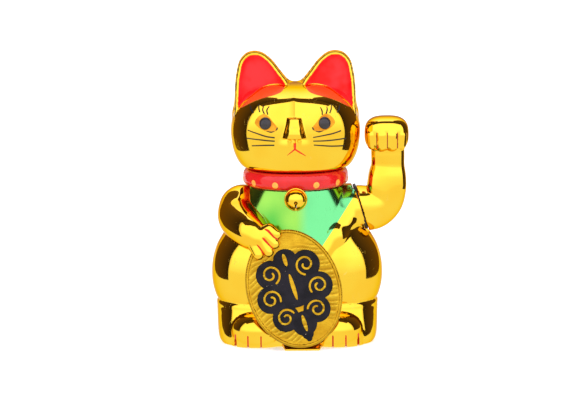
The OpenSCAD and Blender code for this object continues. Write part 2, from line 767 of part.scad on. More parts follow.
body_front_shell();
body_rear_shell();
head_front_shell();
head_rear_shell();
collar();
bell();
bell_clapper();
koban_coin();
coin_ornament();
eye_left();
eye_right();
base_plate();
base_screws();
battery_door();
battery();
contact_spring();
contact_plate();
swing_frame();
frame_screws();
coil_bobbin();
coil_winding();
circuit_board();
transistor();
capacitor();
switch_body();
switch_knob();
lead_positive();
lead_negative();
lead_switch();
coil_leads();
arm_front_shell();
arm_rear_shell();
shoulder_disc();
arm_axle();
axle_clips();
pendulum_lever();
counterweight();
drive_magnet();
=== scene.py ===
"""Beckoning cat figurine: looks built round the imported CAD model. Fields and tables are in millimetres."""

import math

import bmesh
import bpy
import numpy as np
from mathutils import Matrix, Vector
from mathutils.geometry import delaunay_2d_cdt


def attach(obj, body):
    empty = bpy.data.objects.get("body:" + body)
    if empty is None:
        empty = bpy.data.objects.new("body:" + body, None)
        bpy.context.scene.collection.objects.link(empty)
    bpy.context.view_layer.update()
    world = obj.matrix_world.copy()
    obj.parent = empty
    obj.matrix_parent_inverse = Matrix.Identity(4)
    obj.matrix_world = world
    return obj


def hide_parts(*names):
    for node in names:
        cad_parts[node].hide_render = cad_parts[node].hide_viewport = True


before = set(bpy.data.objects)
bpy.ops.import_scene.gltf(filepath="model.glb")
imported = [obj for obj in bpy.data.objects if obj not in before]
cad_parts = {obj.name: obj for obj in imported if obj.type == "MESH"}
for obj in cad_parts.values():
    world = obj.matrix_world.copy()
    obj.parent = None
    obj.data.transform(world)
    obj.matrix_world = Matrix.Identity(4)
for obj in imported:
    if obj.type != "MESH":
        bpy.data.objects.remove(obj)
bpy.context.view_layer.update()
MM = 0.001

# ------------------------------------------------------------------ camera

# the picture's width in millimetres at the cat
VIEW_WIDTH = 323.2609
SENSOR_WIDTH = 36
CAM_DISTANCE = 3.0
CAM_ELEVATION = math.radians(9.0)
CAM_ROLL = math.radians(0.5)
CAM_TARGET = Vector((-1.65, 0, 76.3)) * MM

cam = bpy.data.objects.new("camera", bpy.data.cameras.new("camera"))
bpy.context.scene.collection.objects.link(cam)
back = Vector((0, -math.cos(CAM_ELEVATION), math.sin(CAM_ELEVATION)))
cam.location = CAM_TARGET + back * CAM_DISTANCE
cam.rotation_mode = "QUATERNION"
roll = Matrix.Rotation(-CAM_ROLL, 3, "Z").to_quaternion()
cam.rotation_quaternion = (-back).to_track_quat("-Z", "Y") @ roll
cam.data.sensor_width = SENSOR_WIDTH
cam.data.lens = SENSOR_WIDTH * CAM_DISTANCE / (VIEW_WIDTH * MM)
cam.data.clip_start, cam.data.clip_end = 0.05, 40
bpy.context.scene.camera = cam

# ------------------------------------------------------------------ distance fields


def smin(a, b, k):
    """Smooth union of two distance fields, with a fillet about k wide."""
    h = np.maximum(k - np.abs(a - b), 0) / k
    return np.minimum(a, b) - h * h * h * k / 6


def smax(a, b, k):
    return -smin(-a, -b, k)


def union(parts, k=0.0):
    """Union of several fields, with fillets about k wide where k is given."""
    parts = iter(parts)
    d = next(parts)
    for part in parts:
        d = smin(d, part, k) if k else np.minimum(d, part)
    return d


def step01(t):
    """Smooth step from 0 to 1."""
    t = np.clip(t, 0, 1)
    return t * t * (3 - 2 * t)


def ellipsoid(x, y, z, c, r):
    px, py, pz = x - c[0], y - c[1], z - c[2]
    k0 = np.sqrt((px / r[0]) ** 2 + (py / r[1]) ** 2 + (pz / r[2]) ** 2)
    k1 = np.sqrt((px / r[0] ** 2) ** 2 + (py / r[1] ** 2) ** 2 + (pz / r[2] ** 2) ** 2)
    return k0 * (k0 - 1) / np.maximum(k1, 1e-6)


def round_cone(x, y, z, a, ra, b, rb):
    """Hull of two balls."""
    ba = np.subtract(b, a).astype(float)
    l2 = ba @ ba
    rr = ra - rb
    a2 = l2 - rr * rr
    px, py, pz = x - a[0], y - a[1], z - a[2]
    along = px * ba[0] + py * ba[1] + pz * ba[2]
    past = along - l2
    x2 = (px * l2 - ba[0] * along) ** 2 + (py * l2 - ba[1] * along) ** 2 + (pz * l2 - ba[2] * along) ** 2
    y2, z2 = along * along * l2, past * past * l2
    k = np.sign(rr) * rr * rr * x2
    side = (np.sqrt(x2 * a2 / l2) + along * rr) / l2 - ra
    out = np.where(np.sign(along) * a2 * y2 < k, np.sqrt(x2 + y2) / l2 - ra, side)
    return np.where(np.sign(past) * a2 * z2 > k, np.sqrt(x2 + z2) / l2 - rb, out)


def chain(x, y, z, balls, k):
    """Limb through a row of balls, each (centre, radius)."""
    return union((round_cone(x, y, z, a, ra, b, rb) for (a, ra), (b, rb) in zip(balls, balls[1:])), k)


def smooth_table(zs, values, at, blur):
    """Cubic curve through the rows of a table, then blurred by a Gaussian."""
    zs, values = np.asarray(zs, float), np.asarray(values, float)
    slope = np.gradient(values, zs)
    i = np.clip(np.searchsorted(zs, at) - 1, 0, len(zs) - 2)
    h = zs[i + 1] - zs[i]
    t = (at - zs[i]) / h
    inner = (
        (1 + 2 * t) * (1 - t) ** 2 * values[i]
        + t * (1 - t) ** 2 * h * slope[i]
        + t * t * (3 - 2 * t) * values[i + 1]
        + t * t * (t - 1) * h * slope[i + 1]
    )
    low = values[0] + (at - zs[0]) * (values[1] - values[0]) / (zs[1] - zs[0])
    high = values[-1] + (at - zs[-1]) * (values[-1] - values[-2]) / (zs[-1] - zs[-2])
    curve = np.where(at < zs[0], low, np.where(at > zs[-1], high, inner))
    pitch = at[1] - at[0]
    n = int(3 * blur / pitch)
    kernel = np.exp(-0.5 * (np.arange(-n, n + 1) * pitch / blur) ** 2)
    kernel /= kernel.sum()
    before = curve[0] + (curve[1] - curve[0]) * np.arange(-n, 0)
    after = curve[-1] + (curve[-1] - curve[-2]) * np.arange(1, n + 1)
    return np.convolve(np.concatenate([before, curve, after]), kernel, "valid")


class Loft:
    """A solid of superellipse sections: height, half width, front depth, rear depth, squareness."""

    def __init__(self, rows, blur):
        r = np.array(rows, float)
        self.z = np.arange(r[0, 0] - 12, r[-1, 0] + 12, 0.1)
        self.w2 = smooth_table(r[:, 0], np.sign(r[:, 1]) * r[:, 1] ** 2, self.z, blur)
        self.slope = np.gradient(self.w2, self.z)
        w = np.maximum(np.abs(r[:, 1]), 1e-3)
        self.front = smooth_table(r[:, 0], r[:, 2] / w, self.z, blur)
        self.rear = smooth_table(r[:, 0], r[:, 3] / w, self.z, blur)
        self.n = smooth_table(r[:, 0], r[:, 4], self.z, blur)

    def __call__(self, x, y, z):
        w2 = np.interp(z, self.z, self.w2)
        dw2 = np.interp(z, self.z, self.slope)
        s = np.where(y < 0, np.interp(z, self.z, self.front), np.interp(z, self.z, self.rear))
        n = np.interp(z, self.z, self.n)
        ax, ay = np.abs(x) + 1e-6, np.abs(y / s) + 1e-6
        px, py = ax ** (n - 1), ay ** (n - 1)
        rho = (px * ax + py * ay) ** (1 / n)
        k = 2 * rho ** (2 - n)
        return (rho * rho - w2) / np.sqrt((k * px) ** 2 + (k * py / s) ** 2 + dw2**2 + 1e-6)


class Table:
    """A function of two coordinates, read from a fine table."""

    def __init__(self, lo, pitch, table):
        self.lo, self.pitch, self.table = lo, pitch, table

    def __call__(self, u, v):
        fu = np.clip((u - self.lo[0]) / self.pitch, 0, self.table.shape[0] - 1.001)
        fv = np.clip((v - self.lo[1]) / self.pitch, 0, self.table.shape[1] - 1.001)
        i, j = fu.astype(int), fv.astype(int)
        fu, fv = fu - i, fv - j
        t = self.table
        low = t[i, j] * (1 - fu) + t[i + 1, j] * fu
        high = t[i, j + 1] * (1 - fu) + t[i + 1, j + 1] * fu
        return low * (1 - fv) + high * fv


class Outline(Table):
    """Signed distance to a smooth line in a plane. A closed one is negative inside."""

    def __init__(self, points, pitch=0.2, margin=6.0, closed=True):
        p = spline(points, closed, 10)
        a, b = (p, np.roll(p, -1, 0)) if closed else (p[:-1], p[1:])
        self.lo = p.min(0) - margin
        n = np.ceil((p.max(0) + margin - self.lo) / pitch).astype(int) + 1
        self.pitch = pitch
        u = self.lo[0] + pitch * np.arange(n[0])
        v = self.lo[1] + pitch * np.arange(n[1])
        uu, vv = np.meshgrid(u, v, indexing="ij")
        best = np.full(uu.shape, 1e9)
        odd = np.zeros(uu.shape, bool)
        side = np.zeros(uu.shape)
        for (x0, y0), (x1, y1) in zip(a, b):
            dx, dy = x1 - x0, y1 - y0
            t = np.clip(((uu - x0) * dx + (vv - y0) * dy) / (dx * dx + dy * dy + 1e-12), 0, 1)
            d2 = (uu - x0 - t * dx) ** 2 + (vv - y0 - t * dy) ** 2
            nearer = d2 < best
            best = np.where(nearer, d2, best)
            if closed:
                slope = dy if abs(dy) > 1e-12 else 1e-12
                odd ^= ((y0 > vv) != (y1 > vv)) & (uu < x0 + (vv - y0) * dx / slope)
            else:
                side = np.where(nearer, np.sign(dx * (vv - y0) - dy * (uu - x0)), side)
        self.table = np.sqrt(best) * (np.where(odd, -1, 1) if closed else side)


def spline(points, closed, per):
    """Smooth curve through points, with per samples to a span."""
    p = np.asarray(points, float)
    n = len(p)
    spans = n if closed else n - 1
    out = []
    for i in range(spans):
        if closed:
            a, b, c, d = p[(i - 1) % n], p[i], p[(i + 1) % n], p[(i + 2) % n]
        else:
            b, c = p[i], p[i + 1]
            a = p[i - 1] if i else 2 * b - c
            d = p[i + 2] if i + 2 < n else 2 * c - b
        for t in np.arange(per) / per:
            square, cube = 2 * a - 5 * b + 4 * c - d, 3 * b - a - 3 * c + d
            out.append(0.5 * (2 * b + (c - a) * t + square * t * t + cube * t**3))
    if not closed:
        out.append(p[-1])
    return np.array(out)


# ------------------------------------------------------------------ meshing


def surface_nets(field, lo, hi, pitch):
    """Vertices and quads of the zero surface of a field, on a regular grid."""
    lo = np.asarray(lo, float)
    n = np.ceil((np.asarray(hi, float) - lo) / pitch).astype(int) + 1
    gx, gy, gz = (lo[i] + pitch * np.arange(n[i]) for i in range(3))
    f = np.empty(tuple(n), np.float32)
    slab = max(1, 400000 // (n[1] * n[2]))
    for i in range(0, n[0], slab):
        xx, yy, zz = np.meshgrid(gx[i : i + slab], gy, gz, indexing="ij")
        f[i : i + slab] = field(xx.ravel(), yy.ravel(), zz.ravel()).reshape(xx.shape)
    f[np.abs(f) < 1e-7] = 1e-7
    inside = f < 0
    cells = tuple(n - 1)
    total = np.zeros(cells + (3,), np.float32)
    count = np.zeros(cells, np.float32)
    corners = [(a, b, c) for a in (0, 1) for b in (0, 1) for c in (0, 1)]

    def at(v, c):
        return v[c[0] : c[0] + cells[0], c[1] : c[1] + cells[1], c[2] : c[2] + cells[2]]

    for c0 in corners:
        for axis in range(3):
            if c0[axis]:
                continue
            c1 = tuple(c0[i] + (i == axis) for i in range(3))
            f0, f1 = at(f, c0), at(f, c1)
            cross = at(inside, c0) != at(inside, c1)
            t = np.where(cross, f0 / np.where(cross, f0 - f1, 1), 0)
            for i in range(3):
                total[..., i] += np.where(cross, c0[i] + (t if i == axis else 0), 0)
            count += cross
    mixed = count > 0
    index = np.full(cells, -1, np.int64)
    index[mixed] = np.arange(mixed.sum())
    where = np.argwhere(mixed)
    verts = (where + total[mixed] / count[mixed][:, None]) * pitch + lo
    quads = []
    for axis in range(3):
        b, c = (axis + 1) % 3, (axis + 2) % 3
        s0 = [slice(0, n[i] - 1) if i == axis else slice(1, n[i] - 1) for i in range(3)]
        s1 = [slice(1, n[i]) if i == axis else slice(1, n[i] - 1) for i in range(3)]
        i0, i1 = inside[tuple(s0)], inside[tuple(s1)]
        hit = np.argwhere(i0 != i1)
        leaves = i0[tuple(hit.T)]
        hit = hit + np.array([0 if i == axis else 1 for i in range(3)])
        ring = []
        for db, dc in ((0, 0), (1, 0), (1, 1), (0, 1)):
            q = hit.copy()
            q[:, b] -= db
            q[:, c] -= dc
            ring.append(index[tuple(q.T)])
        ring = np.stack(ring, 1)
        ring[~leaves] = ring[~leaves][:, ::-1]
        quads.append(ring)
    return verts, np.concatenate(quads)


def gradient(field, v, h=0.05):
    g = np.empty_like(v)
    for i in range(3):
        e = [0.0, 0.0, 0.0]
        e[i] = h
        ahead = field(v[:, 0] + e[0], v[:, 1] + e[1], v[:, 2] + e[2])
        g[:, i] = ahead - field(v[:, 0] - e[0], v[:, 1] - e[1], v[:, 2] - e[2])
    return g / (2 * h)


def settle(field, v, pitch, rounds=2):
    """Moves points onto the zero surface of a field."""
    for _ in range(rounds):
        g = gradient(field, v)
        move = (field(v[:, 0], v[:, 1], v[:, 2]) / np.maximum((g * g).sum(1), 0.05))[:, None] * g
        size = np.sqrt((move * move).sum(1))[:, None]
        v = v - move * np.minimum(1, 0.6 * pitch / np.maximum(size, 1e-9))
    return v


def unit(v):
    return v / np.maximum(np.sqrt((v * v).sum(-1, keepdims=True)), 1e-12)


def raw_object(name, verts, faces):
    """A mesh object from points in millimetres."""
    mesh = bpy.data.meshes.new(name)
    faces = np.asarray(faces)
    mesh.vertices.add(len(verts))
    mesh.vertices.foreach_set("co", (np.asarray(verts, float) * MM).astype(np.float32).ravel())
    mesh.loops.add(faces.size)
    mesh.loops.foreach_set("vertex_index", faces.astype(np.int32).ravel())
    mesh.polygons.add(len(faces))
    mesh.polygons.foreach_set("loop_start", (np.arange(len(faces)) * faces.shape[1]).astype(np.int32))
    mesh.update(calc_edges=True)
    mesh.validate()
    obj = bpy.data.objects.new(name, mesh)
    bpy.context.scene.collection.objects.link(obj)
    return obj


def points_of(obj):
    co = np.empty(len(obj.data.vertices) * 3, np.float32)
    obj.data.vertices.foreach_get("co", co)
    return co.reshape(-1, 3).astype(float) / MM


def cut_with_cap(obj, point, normal):
    """Cuts off what lies beyond a plane and closes the solid there."""
    bm = bmesh.new()
    bm.from_mesh(obj.data)
    n = Vector(normal)
    everything = bm.verts[:] + bm.edges[:] + bm.faces[:]
    made = bmesh.ops.bisect_plane(
        bm, geom=everything, dist=1e-7, plane_co=Vector(point) * MM, plane_no=n, clear_outer=True
    )
    edges = [e for e in made["geom_cut"] if isinstance(e, bmesh.types.BMEdge) and e.is_boundary]
    rim = sorted({v for e in edges for v in e.verts}, key=lambda v: v.index)
    for i, v in enumerate(rim):
        v.index = i
    place = {v: i for i, v in enumerate(rim)}
    u = n.orthogonal().normalized()
    w = n.cross(u)
    flat = [Vector((v.co.dot(u), v.co.dot(w))) / MM for v in rim]
    pairs = [(place[e.verts[0]], place[e.verts[1]]) for e in edges]
    _, _, tris, origin, _, _ = delaunay_2d_cdt(flat, pairs, [], 0, 1e-7)
    p = np.array([tuple(q) for q in flat])
    a, b = p[[i for i, _ in pairs]], p[[j for _, j in pairs]]
    for t in tris:
        ids = [origin[k][0] if origin[k] else -1 for k in t]
        if -1 in ids:
            continue
        c = p[ids].mean(0)
        spans = (a[:, 1] > c[1]) != (b[:, 1] > c[1])
        x_at = a[:, 0] + (c[1] - a[:, 1]) * (b[:, 0] - a[:, 0]) / np.where(spans, b[:, 1] - a[:, 1], 1)
        if (spans & (x_at > c[0])).sum() % 2:
            face = bm.faces.new([rim[i] for i in ids])
            face.normal_update()
            if face.normal.dot(n) < 0:
                face.normal_flip()
    # what is left open is where three points of the rim lie in one line
    left = [e for e in bm.edges if e.is_boundary]
    if left:
        bmesh.ops.holes_fill(bm, edges=left, sides=8)
    bm.to_mesh(obj.data)
    bm.free()


def shade_from(obj, field):
    """Normals from the field itself on the formed surface, flat ones on the cut faces."""
    mesh = obj.data
    mesh.update()
    v = points_of(obj)
    n = unit(gradient(field, v, 0.08))
    loops = np.empty(len(mesh.loops), np.int32)
    mesh.loops.foreach_get("vertex_index", loops)
    flat = np.empty(len(mesh.polygons) * 3, np.float32)
    mesh.polygons.foreach_get("normal", flat)
    sizes = np.empty(len(mesh.polygons), np.int32)
    mesh.polygons.foreach_get("loop_total", sizes)
    face_n = np.repeat(flat.reshape(-1, 3), sizes, 0)
    loop_n = n[loops]
    keep = (loop_n * face_n).sum(1) > 0.4
    loop_n = np.where(keep[:, None], loop_n, face_n)
    mesh.polygons.foreach_set("use_smooth", np.ones(len(mesh.polygons), bool))
    mesh.normals_split_custom_set(loop_n.tolist())


def put_attribute(obj, name, values):
    a = obj.data.attributes.new(name, "FLOAT", "POINT")
    a.data.foreach_set("value", np.asarray(values, np.float32))


def formed(name, field, lo, hi, pitch, cuts=(), shade=None):
    """A closed piece from a field, cut flat by planes given as (point, normal)."""
    verts, quads = surface_nets(field, lo, hi, pitch)
    verts = settle(field, verts, pitch)
    obj = raw_object(name, verts, quads)
    for point, normal in cuts:
        cut_with_cap(obj, point, normal)
    shade_from(obj, shade or field)
    return obj


# the gap between two moulded halves, and how far each is formed past its cut
SEAM = 0.2
PAST_SEAM = 1.5
SEAM_REACH = 4


def halves(name, field, lo, hi, pitch, cuts=(), shade=None):
    """The front and rear moulded halves of a hollow field, parted at the seam on Y = 0."""
    made = []
    front_box = lo, (hi[0], SEAM_REACH, hi[2])
    rear_box = (lo[0], -SEAM_REACH, lo[2]), hi
    for part, side, box in (("front", -1, front_box), ("rear", 1, rear_box)):
        seam_cut = ((0, side * SEAM / 2, 0), (0, -side, 0))

        def half(x, y, z, side=side):
            return np.maximum(field(x, y, z), -side * y - PAST_SEAM)

        made.append(formed(f"{name}_{part}", half, *box, pitch, [*cuts, seam_cut], shade))
    return made


# ------------------------------------------------------------------ the body

WALL = 1.8
BODY_PITCH = 0.8
HEAD_PITCH = 0.62
ARM_PITCH = 0.6

drum = Loft(
    [
        [-3, 39.6, 28, 27, 3.9],
        [0, 42.0, 30.6, 29.4, 3.9],
        [1.6, 43.0, 31.4, 30.6, 3.8],
        [4, 43.6, 31.6, 31.2, 3.6],
        [7, 43.9, 31.5, 31.5, 3.35],
        [11, 44.1, 31.3, 31.7, 3.0],
        [15, 44.2, 30.9, 31.8, 2.72],
        [19, 44.3, 30.4, 31.7, 2.5],
        [22, 44.1, 29.8, 31.2, 2.4],
        [23.6, 42.4, 28.4, 29.8, 2.35],
        [25, 37.5, 25, 26, 2.3],
    ],
    0.5,
)
haunch = Loft(
    [
        [18.2, 36, 24, 25, 2.35],
        [20.2, 40.6, 27.4, 28.6, 2.35],
        [23, 44.2, 29.9, 31.2, 2.35],
        [26, 45.3, 30.8, 32.2, 2.35],
        [29, 46.2, 31.5, 33.0, 2.35],
        [32.6, 46.8, 31.9, 33.5, 2.35],
        [37.5, 47.0, 32, 33.6, 2.33],
        [42.4, 46.7, 31.8, 33.5, 2.3],
        [45.7, 46.1, 31.5, 33.3, 2.27],
        [49, 45.2, 31.1, 32.8, 2.25],
        [52.4, 44.0, 30.5, 32, 2.2],
        [56, 42.0, 29.5, 31.1, 2.15],
        [60, 39.4, 28.3, 30.1, 2.1],
        [64, 37, 27.4, 29.2, 2.1],
        [70, 33.8, 26.2, 28, 2.1],
        [76, 30.5, 25.2, 26.8, 2.05],
        [81, 27.9, 24.5, 25.8, 2.0],
        [85, 25.8, 23.8, 24.5, 2.0],
        [88, 23.6, 22.6, 23, 2.0],
    ],
    1.3,
)


def tube(balls, per=5):
    """Balls on a smooth curve through a few of them, each [centre, radius]."""
    return [[tuple(q[:3]), q[3]] for q in spline([[*c, r] for c, r in balls], False, per)]


HOLDING_ARM = tube(
    [
        [(-29.3, -1, 71.8), 13.5],
        [(-31.6, -8, 68.9), 11.6],
        [(-30.4, -16, 66.8), 10.7],
        [(-27.4, -23, 64.8), 10.2],
        [(-23.8, -29, 62.5), 9.0],
        [(-20.3, -33.6, 60.4), 6.6],
    ]
)
PALM_R = 6.2
# the fingers of the hand that holds the coin: knuckle, the knuckle's radius, tip
FINGERS = [
    ((-22.4, -35.2, 57.0), 4.3, (-20.9, -39.0, 52.4)),
    ((-19, -36.2, 59.5), 4.3, (-15.4, -39.2, 54.0)),
    ((-16.6, -36.2, 62.4), 4.2, (-12.0, -38.8, 58.4)),
    ((-14.8, -35.2, 65.6), 3.7, (-11.0, -37.8, 63.4)),
]
FINGER_R = 2.8
SHOULDER_FOLD = [
    [(22, -2, 71.5), 13.6],
    [(24, -9, 67.5), 10.5],
    [(20, -20, 59), 7],
    [(14, -26, 51), 5],
]
AXLE_Z = 72.4
# the slanted disc between shoulder and arm
DISC_AT = np.array([34.4, 0, AXLE_Z])
DISC_SLANT = math.radians(16)
DISC_N = np.array([math.cos(DISC_SLANT), 0, math.sin(DISC_SLANT)])
DISC_R = 12.95
NECK_R = 21.6
BODY_TOP = 85
NECK_FOOT, NECK_TOP = 70, 89.7
FOOT_X = 22
# the foot on +X stands this much nearer the middle
FOOT_SHIFT = 0.9
TOE_LINES = (-12.1, -5.2, 1.9)
TOE_LINE_TOP = 7.2
TOE_FRONT = -25
TOE_Y, TOE_R, TOE_TOP, TOE_STRETCH = -24, 10.2, 9.4, 1.38
# the ledge that the coin stands on, narrower towards its front
LEDGE_X, LEDGE_FRONT, LEDGE_BACK = 2.5, -43, -26
LEDGE_HALF_W, LEDGE_H = 9.4, 0.9
# the toes are added in front of this
FRONT_Y = 6
TAIL_AT, TAIL_TURN_R = (-16, 34.5, 20), 15
TAIL = [
    [
        (
            TAIL_AT[0] + TAIL_TURN_R * math.cos(math.radians(a)),
            TAIL_AT[1] - a / 70,
            TAIL_AT[2] + TAIL_TURN_R * math.sin(math.radians(a)),
        ),
        6 - a / 60,
    ]
    for a in range(0, 141, 7)
]

COIN_C = np.array([-1.9, -37.8, 33.35])
COIN_LEAN = math.radians(9)
COIN_TURN = math.radians(17)
COIN_T = 2.4
COIN_A, COIN_B = 25.8, 32.9
coin_rot = np.array(Matrix.Rotation(math.pi / 2 - COIN_LEAN, 3, "X") @ Matrix.Rotation(COIN_TURN, 3, "Z"))


def to_coin(x, y, z):
    """Coordinates in the coin's own frame."""
    p = np.stack([x - COIN_C[0], y - COIN_C[1], z - COIN_C[2]])
    return coin_rot.T @ p


def from_coin(p):
    return np.asarray(p) @ coin_rot.T + COIN_C


def disc_frame(x, y, z):
    """Distance along the slanted disc's axis, and from it."""
    px, pz = x - DISC_AT[0], z - DISC_AT[2]
    along = px * DISC_N[0] + pz * DISC_N[2]
    across = np.sqrt(np.maximum(px * px + y * y + pz * pz - along * along, 0))
    return along, across


def trunk(x, y, z):
    return smin(drum(x, y, z), haunch(x, y, z), 0.7)


def limbs(x, y, z):
    arm = chain(x, y, z, HOLDING_ARM, 0.6)
    fold = chain(x, y, z, SHOULDER_FOLD, 4)
    fold = smin(fold, ellipsoid(x, y, z, (29, -0.3, 72.1), (17, 16.2, 13.2)), 2)
    ax = np.abs(x)
    paw = ellipsoid(ax + FOOT_SHIFT * (x > 0), y, z, (FOOT_X, -24.4, 8.6), (14.2, 14, 10.6))
    foot = smin(paw, ellipsoid(ax, y, z, (FOOT_X, -14, 9), (14, 13, 9.5)), 4)
    return arm, fold, foot


SWING = math.radians(18)
DISC_CLEAR = 0.35
SHROUD_IN, SHROUD_OUT = 13.35, 15.6


def shoulder_cut(x, y, z, grow=0.0):
    """The space that the slanted disc sweeps as it turns about the axle, and all that lies outside it."""
    along, across = disc_frame(x, y, z)
    up = z - DISC_AT[2]
    fall = np.where(
        np.abs(np.arctan2(np.abs(y), up)) < SWING,
        -np.sqrt(y * y + up * up),
        np.minimum(-np.abs(y) * math.sin(SWING) - up * math.cos(SWING), -up),
    )
    face = (x - DISC_AT[0] - math.tan(DISC_SLANT) * fall) * math.cos(DISC_SLANT)
    swept = np.maximum(np.sqrt(y * y + up * up) - SHROUD_IN - grow, -DISC_CLEAR - grow - face)
    # the shoulder's rim laps over the edge of the disc in front, and stops short of it above and below
    lip = -0.4 + 1.7 * np.clip(-y / DISC_R, 0, 1)
    return np.minimum(swept, np.maximum(across - (SHROUD_OUT + grow), lip - grow - along))


def toe_lines(x, z, top):
    """Distance to the upright lines between the toes, which end at a height."""
    out = np.abs(x) + FOOT_SHIFT * (x > 0) - FOOT_X
    return union(np.sqrt((out + t) ** 2 + np.maximum(z - top, 0) ** 2) for t in TOE_LINES)


def body_outer(x, y, z):
    arm, fold, foot = limbs(x, y, z)
    d = smin(trunk(x, y, z), foot, 0.7)
    # the fronts of the feet, with grooves between the toes
    toe = np.sqrt(((np.abs(x) - FOOT_X) / TOE_STRETCH) ** 2 + (y - TOE_Y) ** 2 + 1e-6) - TOE_R
    toe = smax(toe, z - TOE_TOP, 6)
    toe = smax(toe, -np.maximum(toe_lines(x, z, TOE_LINE_TOP) - 0.55, y - TOE_FRONT), 0.5)
    d = np.where(y < FRONT_Y, smin(d, toe, 1.0), d)
    d = smin(d, fold, 1.2)
    palm = HOLDING_ARM[-1][0]
    fingers = union(
        (
            np.minimum(round_cone(x, y, z, palm, PALM_R, k, r), round_cone(x, y, z, k, r, tip, FINGER_R))
            for k, r, tip in FINGERS
        ),
        0.7,
    )
    d = smin(d, smin(arm, fingers, 1.6), 1.0)
    # tail, lying against the back
    tail = chain(x, y, z, TAIL, 0.4)
    d = smin(d, tail, 1.0)
    ledge_side = np.abs(x - LEDGE_X) - (LEDGE_HALF_W + (y - LEDGE_FRONT) * 0.14)
    ledge_top = z - LEDGE_H - np.maximum(y + 41, 0) * 0.12
    ledge = np.maximum.reduce([ledge_side, LEDGE_FRONT - y, y - LEDGE_BACK, ledge_top])
    d = smin(d, ledge, 0.8)
    d = smax(d, -shoulder_cut(x, y, z), 0.5)
    # neck
    neck = np.maximum(np.sqrt(x * x + y * y) - NECK_R, np.maximum(z - NECK_TOP, NECK_FOOT - z))
    return np.minimum(np.maximum(d, z - BODY_TOP), neck)


def body_cavity(x, y, z):
    """The hollow inside the body's walls."""
    arm, fold, foot = limbs(x, y, z)
    d = smin(smin(smin(trunk(x, y, z), foot, 0.7), fold, 1.2), arm, 1.0) + WALL
    d = np.maximum(d, -shoulder_cut(x, y, z, WALL))
    d = np.maximum(d, z - (BODY_TOP - 1))
    neck = np.maximum(np.sqrt(x * x + y * y) - (NECK_R - WALL), NECK_FOOT - z)
    return np.minimum(d, neck)


def coin_room(x, y, z):
    """The place where the coin lies against the body."""
    u, v, w = to_coin(x, y, z)
    r = np.sqrt((u / COIN_A) ** 2 + (v / COIN_B) ** 2)
    oval = (r - 1) * (COIN_A + COIN_B) / 2 - 0.3
    return np.maximum(oval, np.abs(w - 0.3) - (COIN_T / 2 + 0.6))


AXLE_HOLE_R = 7.6


def body_field(x, y, z):
    d = np.maximum(body_outer(x, y, z), -body_cavity(x, y, z))
    opening = np.maximum(np.sqrt(y * y + (z - AXLE_Z) ** 2) - AXLE_HOLE_R, 12 - x)
    d = np.maximum(d, -opening)
    return np.maximum(d, -coin_room(x, y, z))


def body_closed(x, y, z):
    """The body with its open foot closed just below the floor."""
    return np.maximum(body_field(x, y, z), -1.5 - z)


FLOOR_CUT = ((0, 0, 0), (0, 0, -1))
body_front, body_rear = halves(
    "body", body_closed, (-50, -45.5, -4), (50, 44, 92), BODY_PITCH, [FLOOR_CUT], body_field
)

# ------------------------------------------------------------------ the head

dome = Loft(
    [
        [94.0, 22, 21, 19, 2.0],
        [94.8, 27.0, 24.6, 23.4, 2.05],
        [95.7, 28.9, 26.3, 24.8, 2.1],
        [97.0, 30.3, 27.1, 25.8, 2.15],
        [99, 31.7, 27.7, 26.7, 2.2],
        [102, 33.2, 28.4, 28, 2.25],
        [106, 34.5, 29.2, 29, 2.3],
        [111, 35.3, 29.8, 29.9, 2.33],
        [115, 35.6, 30.0, 30.2, 2.35],
        [119.5, 35.3, 29.9, 30.2, 2.35],
        [123.5, 34.4, 29.5, 29.9, 2.35],
        [127.4, 33.0, 28.7, 29.3, 2.33],
        [130.3, 31.6, 27.5, 28.3, 2.3],
        [133.2, 30.1, 25.8, 26.8, 2.25],
        [136.1, 27.2, 23, 24.3, 2.2],
        [138.4, 22.9, 19, 20.4, 2.12],
        [140, 17.5, 14.6, 16, 2.05],
        [141, 11, 9.5, 10.4, 2.0],
        [141.4, 6, 5.4, 6, 2.0],
    ],
    0.6,
)
# the head's neck tube runs up to this height
HEAD_FLOOR = 97
SOCKET_R = 1.8
# the middles of the head, the face and the eyes
HEAD_X = -0.2
FACE_X = -0.65
EYE_MID = -0.5
EYE_X, EYE_Z, EYE_R = 16.2, 122.9, 3.4
EAR_OUTLINE = [
    (22.1, 160.7), (25.9, 159.9), (28.9, 157.4), (30.6, 154.4), (31.3, 151.6), (31.8, 148.9),
    (32.3, 146), (32.7, 141), (32.9, 136), (33.1, 130), (33.4, 126), (31, 122), (22, 122), (10, 128),
    (3, 134), (2.4, 139.4), (3.9, 143.6), (5.6, 146.3), (7.7, 149), (9.8, 151.8), (11.9, 154.6),
    (14.6, 157.4), (18.2, 159.9),
]
ear_outline = Outline(EAR_OUTLINE)
# where the dome of the head meets the floor of the ear's dish
EAR_RIDGE = [
    (34.5, 123.6), (31.4, 128.6), (29.7, 130.7), (27.6, 133), (25.2, 135.1), (22.8, 136.8),
    (20, 138.6), (16.9, 139.9), (13.8, 140.8), (10.9, 141.1), (7.3, 141), (2, 140.6),
]
# where the red paint ends on the dome
EAR_PAINT_LOW = [
    (34.5, 124), (30.9, 128.8), (29.2, 129.9), (26.9, 131.3), (24.5, 132.8), (21.9, 134.1),
    (18.5, 135.4), (14.8, 136.5), (11.3, 137.4), (7.9, 138.6), (6.2, 140), (4.4, 142),
]
ear_ridge = Outline(EAR_RIDGE, closed=False, margin=22)
ear_paint_low = Outline(EAR_PAINT_LOW, closed=False, margin=22)
EAR_RIM = 1.55
REAR_EAR_GROW = 0.45
EAR_DROP = 1.5
EAR_INSET = 0.1


